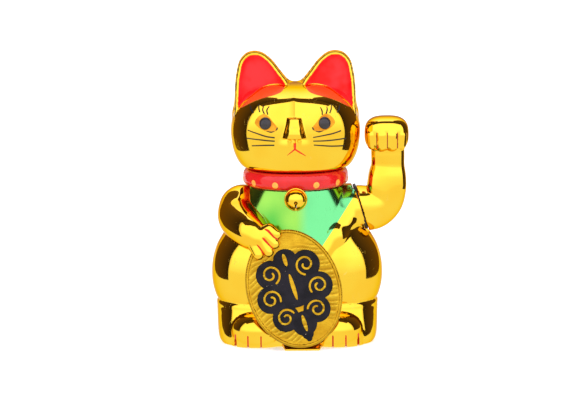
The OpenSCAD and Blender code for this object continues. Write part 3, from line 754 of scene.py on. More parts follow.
def ear(x, y, z):
    ax = np.abs(x)
    z = z + EAR_DROP
    out = ear_outline(ax, z) + EAR_INSET - np.where(y > 0, REAR_EAR_GROW, 0)
    thick = 4.2 + np.clip(158 - z, 0, 40) * 0.19
    inner = np.clip(-(ear_outline(ax, z) + EAR_RIM) / 5, 0, 1)
    dish = 3.6 * (1 - (1 - inner) ** 2.2)
    front = dish - thick - y
    rear = y - thick
    d = smax(out, front, 1.6)
    return smax(d, rear, 7)


NOSE_OUT = [
    (113, 33.2), (115, 33.8), (117.4, 34.3), (119.4, 34.0), (120.6, 33.2),
    (122, 33.0), (124, 32.6), (125.6, 31.8), (127, 30.8),
]
NOSE_HALF = [(113, 7.2), (115.5, 6.9), (118, 6.3), (121, 5.4), (124, 4.5), (127, 3.6)]


def along_table(table, at):
    zs, values = zip(*table)
    return np.interp(at, zs, values)


def nose(x, y, z):
    """A flat-fronted wedge with steep sides, and the rounder tip that stands proud of it."""
    ax = np.abs(x - FACE_X)
    side = 0.82 * (ax - along_table(NOSE_HALF, z)) - 0.57 * (y + 29.3)
    front = -y - along_table(NOSE_OUT, z)
    d = smax(smax(side, front, 0.9), smax(z - 125.9, 114.9 - z, 0.6), 0.9)
    return smax(d, y + 24, 0.5)


def muzzle(x, y, z):
    ax = np.abs(x - FACE_X)
    d = ellipsoid(ax, y, z, (3.7, -27.4, 110.6), (5.4, 3.1, 4.6))
    return smin(d, round_cone(ax, y, z, (2.7, -30.3, 113.6), 0.8, (3.0, -30.2, 109.6), 0.6), 0.7)


def head_outer(x, y, z):
    x = x - HEAD_X
    d = dome(x, y, z)
    front = y < -5
    # soft brow lobes either side of a crease, and a low bridge down to the nose
    cx = x - FACE_X
    hollow = np.exp(-np.sqrt(cx * cx + 0.03) / np.where(cx < 0, 2.6, 1.3))
    crease = hollow * step01((z - 124) / 3) * step01((138 - z) / 9)
    d = d + np.where(front, crease, 0)
    e = ear(x, y, z)
    k = 0.7 + 5 * step01((y + 0.5) / 5)
    d = smin(d, e, k)
    face = smin(d, muzzle(x, y, z), 2.6)
    face = smin(face, nose(x, y, z), 0.8)
    philtrum = np.sqrt(cx * cx + 0.04) - 0.5 + np.maximum(np.abs(z - 111.4) - 2.6, 0)
    face = smax(face, -np.maximum(philtrum, y + 29.8 - 0.1 * (z - 112)), 0.8)
    d = np.where(front, face, d)
    neck = np.maximum(np.sqrt(x * x + y * y) - (NECK_R - 2.1), np.maximum(z - HEAD_FLOOR, 86.4 - z))
    return np.minimum(d, neck)


def head_field(x, y, z):
    inner = dome(x - HEAD_X, y, z) + WALL
    open_neck = np.maximum(np.sqrt(x * x + y * y) - (NECK_R - 3.9), z - HEAD_FLOOR)
    cavity = np.minimum(inner, open_neck)
    d = np.maximum(head_outer(x, y, z), -cavity)
    socket = np.maximum(np.sqrt((np.abs(x - EYE_MID) - EYE_X) ** 2 + (z - EYE_Z) ** 2) - SOCKET_R, y + 14)
    return np.maximum(d, -socket)


head_front, head_rear = halves("head", head_field, (-38, -37, 84), (38, 34, 163), HEAD_PITCH)

# ------------------------------------------------------------------ the waving arm

WAVING_ARM = tube(
    [
        [(33.4, 0, 71.8), 12.4],
        [(41.5, 0, 71.8), 12.1],
        [(47.4, 0, 75.4), 10.9],
        [(49.4, 0, 82), 10.9],
        [(50.0, 0, 89.2), 10.3],
        [(50.4, 0, 95), 9.1],
        [(50.4, 0, 104), 9.2],
    ],
    4,
)
FIST_C = (49.8, -1.4, 113.0)
FIST_R = (12.2, 10.9, 9.9)
ARM_AXIS_X = 50.0
ARM_SQUARE = 4.0


# above this height the forearm is squared
SQUARE_FROM = 72


def squared(x, y, z):
    """Pulls points so that a round forearm comes out with a flattish front and rounded corners."""
    dx = x - ARM_AXIS_X
    two = np.sqrt(dx * dx + y * y) + 1e-6
    many = (np.abs(dx) ** ARM_SQUARE + np.abs(y) ** ARM_SQUARE) ** (1 / ARM_SQUARE) + 1e-6
    s = 1 + (many / two - 1) * step01((z - SQUARE_FROM) / 14)
    return ARM_AXIS_X + dx * s, y * s, z


def superellipsoid(x, y, z, c, r, n):
    ax, ay, az = (np.abs(p - m) / size + 1e-6 for p, m, size in zip((x, y, z), c, r))
    px, py, pz = ax ** (n - 1), ay ** (n - 1), az ** (n - 1)
    k = (px * ax + py * ay + pz * az) ** (1 / n)
    g = k ** (1 - n) * np.sqrt((px / r[0]) ** 2 + (py / r[1]) ** 2 + (pz / r[2]) ** 2)
    return (k - 1) / g


# the fingers of the raised hand: distance from its middle, radius
RAISED_FINGERS = ((-8.3, 2.9), (-3.0, 3.4), (3.0, 3.4), (8.2, 2.9))
# where the arm's flat face lies on the disc's axis, and the hole in it for the disc's boss
ARM_FACE = 1.8
ARM_HOLE_R = 4.3


def raised_finger(x, y, z, out, r):
    front = -9.9 + 0.024 * out * out
    knuckle = (FIST_C[0] + out, front - 0.4, 113.2)
    tip = (FIST_C[0] + 0.96 * out, front + 0.8, 107.6)
    return round_cone(x, y, z, knuckle, r - 0.1, tip, r - 0.2)


def arm_outer(x, y, z):
    d = chain(*squared(x, y, z), WAVING_ARM, 0.5)
    fist = superellipsoid(x, y, z, FIST_C, FIST_R, 2.8)
    fist = smin(fist, union((raised_finger(x, y, z, *f) for f in RAISED_FINGERS), 0.5), 0.7)
    d = smin(d, fist, 1.4)
    along, _ = disc_frame(x, y, z)
    return smax(d, ARM_FACE - along, 0.5)


def arm_field(x, y, z):
    """The hollow waving arm."""
    inner = chain(*squared(x, y, z), WAVING_ARM, 0.5)
    inner = smin(inner, ellipsoid(x, y, z, FIST_C, FIST_R), 2) + WALL
    along, across = disc_frame(x, y, z)
    inner = np.maximum(inner, ARM_FACE + WALL - along)
    d = np.maximum(arm_outer(x, y, z), -inner)
    return np.maximum(d, -np.maximum(across - ARM_HOLE_R, along - ARM_FACE - WALL - 1))


arm_front, arm_rear = halves("waving_arm", arm_field, (30, -15.5, 57), (64.5, 15.5, 127), ARM_PITCH)

DISC_T = 1.5
BOSS_R, BOSS_H = 3.9, 3.6
HUB_R, HUB_FROM, HUB_TO = 4.2, 24, 36.4
BORE_R, BORE_TO = 1.6, 30


def disc_field(x, y, z):
    """The black disc, its boss towards the arm, and its hub on the axle."""
    along, across = disc_frame(x, y, z)
    plate = smax(across - (DISC_R - 0.05), np.maximum(-along, along - DISC_T), 0.35)
    boss = np.maximum(across - BOSS_R, np.maximum(-along, along - (DISC_T + BOSS_H)))
    radial = np.sqrt(y * y + (z - AXLE_Z) ** 2)
    hub = np.maximum(radial - HUB_R, np.maximum(HUB_FROM - x, x - HUB_TO))
    bore = np.maximum(radial - BORE_R, x - BORE_TO)
    return np.maximum(np.minimum(np.minimum(plate, boss), hub), -bore)


disc = formed("shoulder_plate", disc_field, (22, -14, 56), (42, 14, 88), 0.5)

# ------------------------------------------------------------------ paint masks, as signed distances


def bib_mask(x, y, z):
    """The green bib, bounded by the holding arm, the collar and two slanted edges."""
    arm = limbs(x, y, z)[0]
    edge = (x - 13.8) * 0.816 - (z - 55.2) * 0.578
    left = 44 - 0.57 * x - 0.82 * z
    return np.maximum.reduce([0.3 - arm, edge, left, 44 - z, y + 4, -31.5 - y])


# a value that leaves the bib unpainted
BIB_NONE = 9.0
v = points_of(body_front)
outer = np.abs(body_outer(*v.T)) < 0.2
put_attribute(body_front, "bib", np.where(outer, bib_mask(*v.T), BIB_NONE))


def toe_mask(x, y, z):
    """Red on the lines between the toes."""
    return np.maximum(toe_lines(x, z, 7.0) - 0.42, y - TOE_FRONT)


def finger_mask(x, y, z):
    """Red in the grooves between the fingers of the hand that holds the coin."""
    d = np.stack([round_cone(x, y, z, k, r, tip, FINGER_R) for k, r, tip in FINGERS])
    two = np.sort(d, 0)[:2]
    reach = np.sqrt((x + 22.5) ** 2 + (y + 33) ** 2 + (z - 62.5) ** 2)
    return np.maximum(two[1] - 0.6, 7.4 - reach)


put_attribute(body_front, "red", np.minimum(toe_mask(*v.T), finger_mask(*v.T)))

v = points_of(head_front)
x, y, z = v.T
ax = np.abs(x - HEAD_X)
rim_here = ear_outline(ax, z + EAR_DROP) + EAR_INSET
red = np.maximum.reduce([rim_here + EAR_RIM, ear_paint_low(ax, z), y + 1.0])
put_attribute(head_front, "ear", red)
put_attribute(head_front, "ridge", ear_ridge(ax, z))
# the thin dark line round the ears: painted shade along the seam between the shells
ear_seam_shade = np.maximum.reduce([-rim_here - 0.62, rim_here + 0.14, ear_paint_low(ax, z) - 0.3])
put_attribute(head_front, "seam", ear_seam_shade)
ax = np.abs(x - EYE_MID)
ALMOND = [
    (21.8, 122.9), (20.2, 126), (17, 127.9), (14.4, 126.8), (12.2, 124.2), (9.3, 120.2),
    (12.2, 118.4), (16.6, 118.9), (19.9, 120.6),
]
almond = Outline(ALMOND)
put_attribute(head_front, "almond", np.maximum(almond(ax, z), y + 12))

# ------------------------------------------------------------------ revolved and swept pieces


def grid_object(name, rings, close_length=False):
    """A closed skin over rings of points, each (n, 3)."""
    rings = np.asarray(rings, float)
    m, n = rings.shape[:2]
    obj = bpy.data.objects.new(name, bpy.data.meshes.new(name))
    bpy.context.scene.collection.objects.link(obj)
    faces = []
    for i in range(m if close_length else m - 1):
        for j in range(n):
            a, b = i * n + j, i * n + (j + 1) % n
            c, d = ((i + 1) % m) * n + (j + 1) % n, ((i + 1) % m) * n + j
            faces.append((a, b, c, d))
    if not close_length:
        faces.append(tuple(range(n))[::-1])
        faces.append(tuple((m - 1) * n + j for j in range(n)))
    obj.data.from_pydata([tuple(p) for p in rings.reshape(-1, 3) * MM], [], faces)
    bm = bmesh.new()
    bm.from_mesh(obj.data)
    bmesh.ops.remove_doubles(bm, verts=bm.verts, dist=1e-8)
    bmesh.ops.recalc_face_normals(bm, faces=bm.faces)
    bm.to_mesh(obj.data)
    bm.free()
    for p in obj.data.polygons:
        p.use_smooth = True
    return obj


COLLAR_Z = 90.0
COLLAR_X = -0.35
COLLAR_MID = 25.45
COLLAR_HALF_W = 3.55
COLLAR_HALF_H = 4.6


def signed_power(v, p):
    return np.sign(v) * np.abs(v) ** p


def collar_point(turn, around):
    """A point of the collar's skin: turn about Z, around the ring's section from its outer side."""
    r = COLLAR_MID + COLLAR_HALF_W * signed_power(np.cos(around), 0.8)
    h = COLLAR_Z + COLLAR_HALF_H * signed_power(np.sin(around), 0.8)
    return np.stack([COLLAR_X + r * np.sin(turn), -r * np.cos(turn), h + 0 * turn], -1)


def full_turn(steps):
    return np.linspace(0, 2 * math.pi, steps, endpoint=False)


COLLAR_STEPS = 48
collar_rings = [collar_point(np.full(COLLAR_STEPS, t), full_turn(COLLAR_STEPS)) for t in full_turn(240)]
collar = grid_object("collar_ring", collar_rings, close_length=True)

DOT_TURNS = [math.radians(s * a) for a in (23, 53, 83, 113, 143) for s in (-1, 1)] + [math.pi]
DOT_R = 1.8
DOT_DROP = 1.5
COLLAR_OUTER = 29
# how a dot stands up from the collar: radius as a share of its own, height
DOT_PROFILE = [
    (0.02, -0.15), (0.75, -0.15), (1.0, -0.1), (1.0, 0.02), (0.93, 0.09), (0.8, 0.14),
    (0.55, 0.18), (0.25, 0.2), (0.02, 0.2),
]
dots = []
for turn in DOT_TURNS:
    rings = []
    for r, h in DOT_PROFILE:
        a = full_turn(28)
        up, side = r * DOT_R * np.sin(a) - DOT_DROP, r * DOT_R * np.cos(a)
        around = np.arcsin(np.clip(signed_power(up / COLLAR_HALF_H, 1.25), -1, 1))
        p = collar_point(turn + side / COLLAR_OUTER, around)
        q = collar_point(turn + side / COLLAR_OUTER, around + 0.01)
        q2 = collar_point(turn + side / COLLAR_OUTER + 0.01, around)
        n = unit(np.cross(q2 - p, q - p))
        n *= np.sign((n * (p - np.array([0, 0, COLLAR_Z]))).sum(1, keepdims=True))
        rings.append(p + n * h)
    dots.append(grid_object(f"dot{len(dots)}", rings))


def join(name, objs):
    bm = bmesh.new()
    for o in objs:
        bm.from_mesh(o.data)
        bpy.data.objects.remove(o)
    mesh = bpy.data.meshes.new(name)
    bm.to_mesh(mesh)
    bm.free()
    for p in mesh.polygons:
        p.use_smooth = True
    obj = bpy.data.objects.new(name, mesh)
    bpy.context.scene.collection.objects.link(obj)
    return obj


collar_dots = join("collar_dots", dots)

# the bell: two domes and the rim between them, with a slot and its round end
BELL_C = np.array([-0.4, -32.2, 81.6])
BELL_R, BELL_INNER_R, BELL_HOLE_R = 5.75, 4.95, 0.95


def bell_field(x, y, z):
    px, py, pz = x - BELL_C[0], y - BELL_C[1], z - BELL_C[2]
    r = np.sqrt(px * px + py * py + pz * pz)
    ball = r - BELL_R
    rim_r = np.sqrt(px * px + pz * pz)
    rim = np.sqrt(np.maximum(np.abs(py - 0.6) - 0.25, 0) ** 2 + (rim_r - 5.8) ** 2) - 0.55
    d = smin(ball, rim, 0.35)
    d = np.maximum(d, BELL_INNER_R - r)
    slot = np.maximum(np.abs(px) - 0.45, np.maximum(pz + 1.5, py - 1.0))
    slot = np.minimum(slot, np.sqrt(px * px + (pz + 1.2) ** 2) - BELL_HOLE_R + np.maximum(py + 1, 0))
    d = smax(d, -slot, 0.2)
    # loop that leans back into the collar
    peg = round_cone(x, y, z, tuple(BELL_C + [0, 3.6, 4.2]), 0.8, tuple(BELL_C + [0, 6.6, 7.5]), 0.8)
    return np.minimum(d, peg)


bell = formed("bell_shell", bell_field, BELL_C - [8, 8.5, 8.5], BELL_C + [8, 10, 10], 0.3)

# eyes


def front_y(field, x, z, start=-40.0, stop=-5.0):
    """Where a line along +Y first meets a field's surface."""
    y = np.full(np.shape(x), start, float)
    for _ in range(80):
        y = np.minimum(y + np.maximum(field(x, y, z), 0) * 0.8, stop)
    return y


def surface_normal(field, p):
    return unit(gradient(field, p, 0.05))


# a bead eye's section: radius as a share of its own, height
EYE_PROFILE = [
    (0.02, -1.2), (0.8, -1.2), (1.0, -1.0), (1.0, 0.12), (0.985, 0.3), (0.94, 0.6), (0.86, 0.92),
    (0.74, 1.25), (0.6, 1.5), (0.44, 1.68), (0.26, 1.8), (0.12, 1.84), (0.02, 1.85),
]
eyes = {}
for name, sx in (("left", 1), ("right", -1)):
    c = np.array([[sx * EYE_X + EYE_MID, 0, EYE_Z]])
    c[:, 1] = front_y(head_outer, c[:, 0], c[:, 2])
    n = surface_normal(head_outer, c)[0]
    side = unit(np.cross(n, [0, 0, 1]))
    up = np.cross(side, n)
    a = full_turn(48)[:, None]
    circle = np.cos(a) * side + np.sin(a) * up
    rings = [c[0] + EYE_R * r * circle + n * h for r, h in EYE_PROFILE]
    eyes[name] = grid_object(f"eye_{name}_bead", rings)


# thin painted lines on the face, as closed ribbons that follow its surface
STROKE_LIFT = 0.09


def ribbon(name, path, widths):
    """A painted stroke on the front of the head: path in (x, z), widths in millimetres at its points."""
    pts = spline(path, False, 8)
    w = np.interp(np.linspace(0, 1, len(pts)), np.linspace(0, 1, len(widths)), widths)
    tangent = unit(np.gradient(pts, axis=0))
    aside = np.stack([-tangent[:, 1], tangent[:, 0]], 1)
    rows_top, rows_low = [], []
    for s in np.linspace(-0.5, 0.5, 5):
        q = pts + aside * (w * s)[:, None]
        y = front_y(head_outer, q[:, 0], q[:, 1])
        p = np.stack([q[:, 0], y, q[:, 1]], 1)
        n = surface_normal(head_outer, p)
        rows_top.append(p + n * (STROKE_LIFT * (1 - (2 * s) ** 2 * 0.7)))
        rows_low.append(p - n * 0.08)
    return grid_object(name, np.stack(rows_top + rows_low[::-1], 1))


def strokes(name, items):
    return join(name, [ribbon(f"{name}_{i}", *item) for i, item in enumerate(items)])


WHISKERS = [
    [(-26.3, 118.7), (-20.4, 117.0), (-16, 115.8), (-11.6, 115.3)],
    [(-26.9, 114.2), (-20.4, 113.9), (-16, 113.6), (-11.6, 113.4)],
    [(-24.1, 110.2), (-18.2, 110.8), (-15, 111), (-11.8, 111.1)],
    [(9.3, 115.3), (16.1, 116.3), (20.4, 117), (24.6, 118.1)],
    [(9.4, 113.3), (15, 113.2), (20, 113.3), (27.5, 113.6)],
    [(9.7, 111.1), (15, 110.5), (19.2, 110.0), (26.6, 109.5)],
]
LASHES = [
    [(-24.8, 131.5), (-24.3, 129.6), (-23.0, 128.0)],
    [(-19.9, 132.7), (-20.1, 130.6), (-19.6, 128.7)],
    [(-17.4, 132.2), (-18.0, 130.0), (-17.1, 128.0)],
    [(-14.4, 132.0), (-15.7, 130.0), (-15.3, 127.6)],
    [(13.4, 131.3), (14.3, 129.4), (14.4, 127.3)],
    [(17.0, 131.5), (17.1, 129.6), (16.5, 127.8)],
    [(19.4, 132.2), (19.3, 130), (18.5, 127.9)],
    [(24.0, 131.3), (23.5, 129.5), (22.4, 127.9)],
]


def mirrored(path):
    return [(2 * EYE_MID - x, z) for x, z in path]


whiskers = strokes("whiskers", [(w, (0.6, 0.75, 0.75)) for w in WHISKERS])
lashes = strokes("lashes", [(w, (0.45, 0.75, 0.75)) for w in LASHES])
UNDER_EYE = [[(-16, 118.75), (-13.6, 118.3), (-11.6, 118.8)], [(-11, 119.2), (-10.3, 120.1), (-9.9, 121.0)]]
eye_lines = strokes("eye_lines", [(p, (0.3, 0.8, 0.3)) for w in UNDER_EYE for p in (w, mirrored(w))])
mouth = strokes(
    "mouth",
    [
        ([(FACE_X, 112.4), (FACE_X + 0.05, 110.6), (FACE_X, 108.4)], (1.5, 1.2, 1.0)),
        ([(FACE_X + 0.1, 109.1), (-2.6, 107.4), (-4.9, 105.5)], (0.9, 0.6, 0.2)),
        ([(FACE_X - 0.1, 109.1), (2.2, 107.1), (5.3, 105.1)], (0.9, 0.8, 0.3)),
    ],
)

# ------------------------------------------------------------------ the coin


def oval_distance(u, v, grow=0.0):
    """Distance to the coin's oval edge, to first order."""
    a, b = COIN_A + grow, COIN_B + grow
    k0 = np.sqrt((u / a) ** 2 + (v / b) ** 2)
    k1 = np.sqrt((u / a**2) ** 2 + (v / b**2) ** 2)
    return k0 * (k0 - 1) / np.maximum(k1, 1e-6)


CLOUD_LOBES = [
    ((0, 0), 10.4), ((0, 15.8), 6.6), ((10, 10.8), 7.9), ((13.6, -2.2), 7.6), ((8.8, -14.2), 7.4),
    ((0, -19.8), 6.8), ((0, -25.6), 3.2), ((0, -28.4), 1.6),
]
CLOUD_SPIRALS = [((10, 10.8), 5.5, 250, -450), ((13.6, -2.2), 5.3, 205, -450), ((8.8, -14.2), 5.1, 160, -450)]
CLOUD_LEAVES = [((0, 16.4), 3.6), ((0, 1), 7.4), ((0, -19.6), 4.6)]
SLIT_HALF = 0.55


def spiral_distance(u, v, at, radius, first, sweep):
    """Distance to a curve that winds inwards."""
    k = np.arange(91) / 90
    a = np.radians(first + sweep * k)
    reach = radius * (1 - 0.74 * k)
    p = np.stack([at[0] + reach * np.cos(a), at[1] + reach * np.sin(a)], 1)
    d = np.full(u.shape, 99.0)
    for p0, p1 in zip(p, p[1:]):
        seg = p1 - p0
        t = np.clip(((u - p0[0]) * seg[0] + (v - p0[1]) * seg[1]) / (seg @ seg), 0, 1)
        d = np.minimum(d, np.hypot(u - p0[0] - t * seg[0], v - p0[1] - t * seg[1]))
    return d


ORN_PITCH = 0.2
ORN_LO = np.array([-30.0, -38.0])
uu, vv = np.meshgrid(
    np.arange(ORN_LO[0], -ORN_LO[0], ORN_PITCH), np.arange(ORN_LO[1], -ORN_LO[1], ORN_PITCH), indexing="ij"
)
au = np.abs(uu)
orn = union((np.hypot(au - cu, vv - cv) - r for (cu, cv), r in CLOUD_LOBES), 0.5)
for at, radius, first, sweep in CLOUD_SPIRALS:
    orn = np.maximum(orn, SLIT_HALF - spiral_distance(au, vv, at, radius, first, sweep))
for (cu, cv), h in CLOUD_LEAVES:
    along_leaf = np.clip((vv - cv) / h, -1, 1)
    from_leaf = np.hypot(uu, np.maximum(np.abs(vv - cv) - h, 0))
    orn = np.maximum(orn, 2 * SLIT_HALF * np.sqrt(1 - along_leaf**2) - from_leaf)
ornament_2d = Table(ORN_LO, ORN_PITCH, orn)


def chisel(u, v):
    """Height of the struck marks on the coin's face: bands of slanted facets."""
    r = np.sqrt((u / COIN_A) ** 2 + (v / COIN_B) ** 2)
    side = np.where(u > 0, 1.0, -1.0)
    along = v + 0.34 * side * u + 0.9 * np.sin(u * 0.45) * 0.5
    band = along / 2.9 + 0.17 * np.sin(along * 0.8)
    saw = band - np.floor(band)
    facet = np.minimum(saw / 0.8, (1 - saw) / 0.2) - 0.5
    reach = step01((r - 0.42) / 0.14) * step01((0.93 - r) / 0.05)
    quiet = step01((v + 26 - 6 * np.sin(u * 0.2)) / 5) * step01((24 - v) / 5)
    return 0.3 * facet * reach * quiet


# the coin's raised rim: how far in it runs, its half width and height
RIM_IN = 1.15
RIM_H = 0.6
PEG_R, PEG_L = 1.5, 5
PEGS = ((-9, 14), (9, -10))


def coin_field(x, y, z):
    u, v, w = to_coin(x, y, z)
    edge = oval_distance(u, v)
    face = smax(edge, w - COIN_T / 2 - chisel(u, v), 0.5)
    plate = np.maximum(smax(edge, -w - COIN_T / 2, 0.5), face)
    rim = smax(np.abs(edge + RIM_IN) - RIM_H, np.maximum(w - COIN_T / 2 - RIM_H, -w - 0.5), 0.45)
    d = smin(plate, rim, 0.3)
    pegs = union(np.sqrt((u - pu) ** 2 + (v - pv) ** 2) - PEG_R for pu, pv in PEGS)
    return np.minimum(d, np.maximum(pegs, np.maximum(w, -w - COIN_T / 2 - PEG_L)))


COIN_PITCH = 0.5
ORNAMENT_TOP = 0.75


def own_frame(name, field_uvw, lo, hi, pitch):
    """Forms a piece in the coin's frame, then stands it in place."""
    obj = formed(name, field_uvw, lo, hi, pitch)
    mesh = obj.data
    normals = np.empty(len(mesh.loops) * 3, np.float32)
    mesh.corner_normals.foreach_get("vector", normals)
    v = points_of(obj)
    mesh.vertices.foreach_set("co", (from_coin(v) * MM).astype(np.float32).ravel())
    mesh.update()
    mesh.normals_split_custom_set((normals.reshape(-1, 3) @ coin_rot.T).tolist())
    return obj


def in_place(field):
    return lambda u, v, w: field(*(coin_rot @ np.stack([u, v, w]) + COIN_C[:, None]))


coin = own_frame("koban_plate", in_place(coin_field), (-28, -36, -8), (28, 36, 3.2), COIN_PITCH)


coin_u, coin_v, _ = to_coin(*points_of(coin).T)
put_attribute(coin, "mark", chisel(coin_u, coin_v))


def ornament_field(u, v, w):
    flat = ornament_2d(u, v)
    return smax(flat, np.maximum(w - COIN_T / 2 - ORNAMENT_TOP, COIN_T / 2 - 0.3 - w), 0.45)


ornament = own_frame("coin_motif", ornament_field, (-27, -34, 0), (27, 34, 3), 0.4)

# ------------------------------------------------------------------ materials


class Nodes:
    """A material's node tree, built by short calls."""

    def __init__(self, name):
        self.mat = bpy.data.materials.new(name)
        self.mat.use_nodes = True
        self.tree = self.mat.node_tree
        self.tree.nodes.clear()
        self.coord = self.add("ShaderNodeTexCoord").outputs["Object"]

    def add(self, kind, inputs=None, **props):
        n = self.tree.nodes.new(kind)
        for k, val in props.items():
            setattr(n, k, val)
        for k, val in (inputs or {}).items():
            self.put(n.inputs[k], val)
        return n

    def put(self, socket, val):
        if isinstance(val, bpy.types.NodeSocket):
            self.tree.links.new(val, socket)
        else:
            if hasattr(val, "__len__") and len(val) == 3 and len(socket.default_value) == 4:
                val = (*val, 1.0)
            socket.default_value = val

    def noise(self, scale, detail=3.0, vector=None):
        """Noise whose features are about scale millimetres."""
        settings = {
            "Vector": vector or self.coord,
            "Scale": 1 / (scale * MM),
            "Detail": detail,
            "Roughness": 0.5,
            "Distortion": 0.0,
        }
        return self.add("ShaderNodeTexNoise", settings).outputs["Fac"]

    def cells(self, scale, feature="F1", vector=None):
        settings = {"Vector": vector or self.coord, "Scale": 1 / (scale * MM), "Randomness": 1.0}
        return self.add("ShaderNodeTexVoronoi", settings, feature=feature)

    def stretched(self, scale, turn=(0, 0, 0)):
        settings = {"Vector": self.coord, "Scale": scale, "Rotation": turn}
        return self.add("ShaderNodeMapping", settings).outputs[0]

    def math(self, op, a, b=0.0):
        n = self.add("ShaderNodeMath", operation=op)
        self.put(n.inputs[0], a)
        self.put(n.inputs[1], b)
        return n.outputs[0]

    def remap(self, v, a, b, c=0.0, d=1.0, smooth=False):
        settings = {"Value": v, "From Min": a, "From Max": b, "To Min": c, "To Max": d}
        kind = "SMOOTHSTEP" if smooth else "LINEAR"
        return self.add("ShaderNodeMapRange", settings, interpolation_type=kind).outputs["Result"]

    def mix(self, f, a, b):
        n = self.add("ShaderNodeMix", data_type="RGBA")
        self.put(n.inputs[0], f)
        self.put(n.inputs[6], a)
        self.put(n.inputs[7], b)
        return n.outputs[2]

    def attribute(self, name):
        return self.add("ShaderNodeAttribute", attribute_name=name).outputs["Fac"]

    def bump(self, height, distance, strength=1.0, normal=None):
        n = self.add("ShaderNodeBump", {"Height": height, "Distance": distance * MM, "Strength": strength})
        if normal is not None:
            self.put(n.inputs["Normal"], normal)
        return n.outputs["Normal"]

    def finish(self, color, metallic=0.0, rough=0.4, normal=None, **sockets):
        settings = {"Base Color": color, "Metallic": metallic, "Roughness": rough}
        b = self.add("ShaderNodeBsdfPrincipled", settings)
        if normal is not None:
            self.put(b.inputs["Normal"], normal)
        for k, val in sockets.items():
            self.put(b.inputs[k.replace("_", " ")], val)
        out = self.add("ShaderNodeOutputMaterial")
        self.tree.links.new(b.outputs[0], out.inputs[0])
        return self.mat


GOLD_A = (1.0, 0.66, 0.055)
GOLD_B = (1.0, 0.60, 0.04)
CORAL = (0.93, 0.030, 0.036)
# red paint on the dome below the ear ridge, its orange tone painted reflection
RED_WITH_PAINTED_REFLECTION = (0.80, 0.075, 0.012)
GREEN_A = (0.10, 0.44, 0.055)
GREEN_B = (0.34, 0.66, 0.085)
# the bib's lighter mint tone towards +X is painted reflection
GREEN_PAINTED_REFLECTION = (0.15, 0.62, 0.21)
ALMOND_A = (0.64, 0.23, 0.010)
ALMOND_B = (0.74, 0.33, 0.018)


# added to X, in metres, to measure from the fold of the forehead
FOLD_X = 0.00085


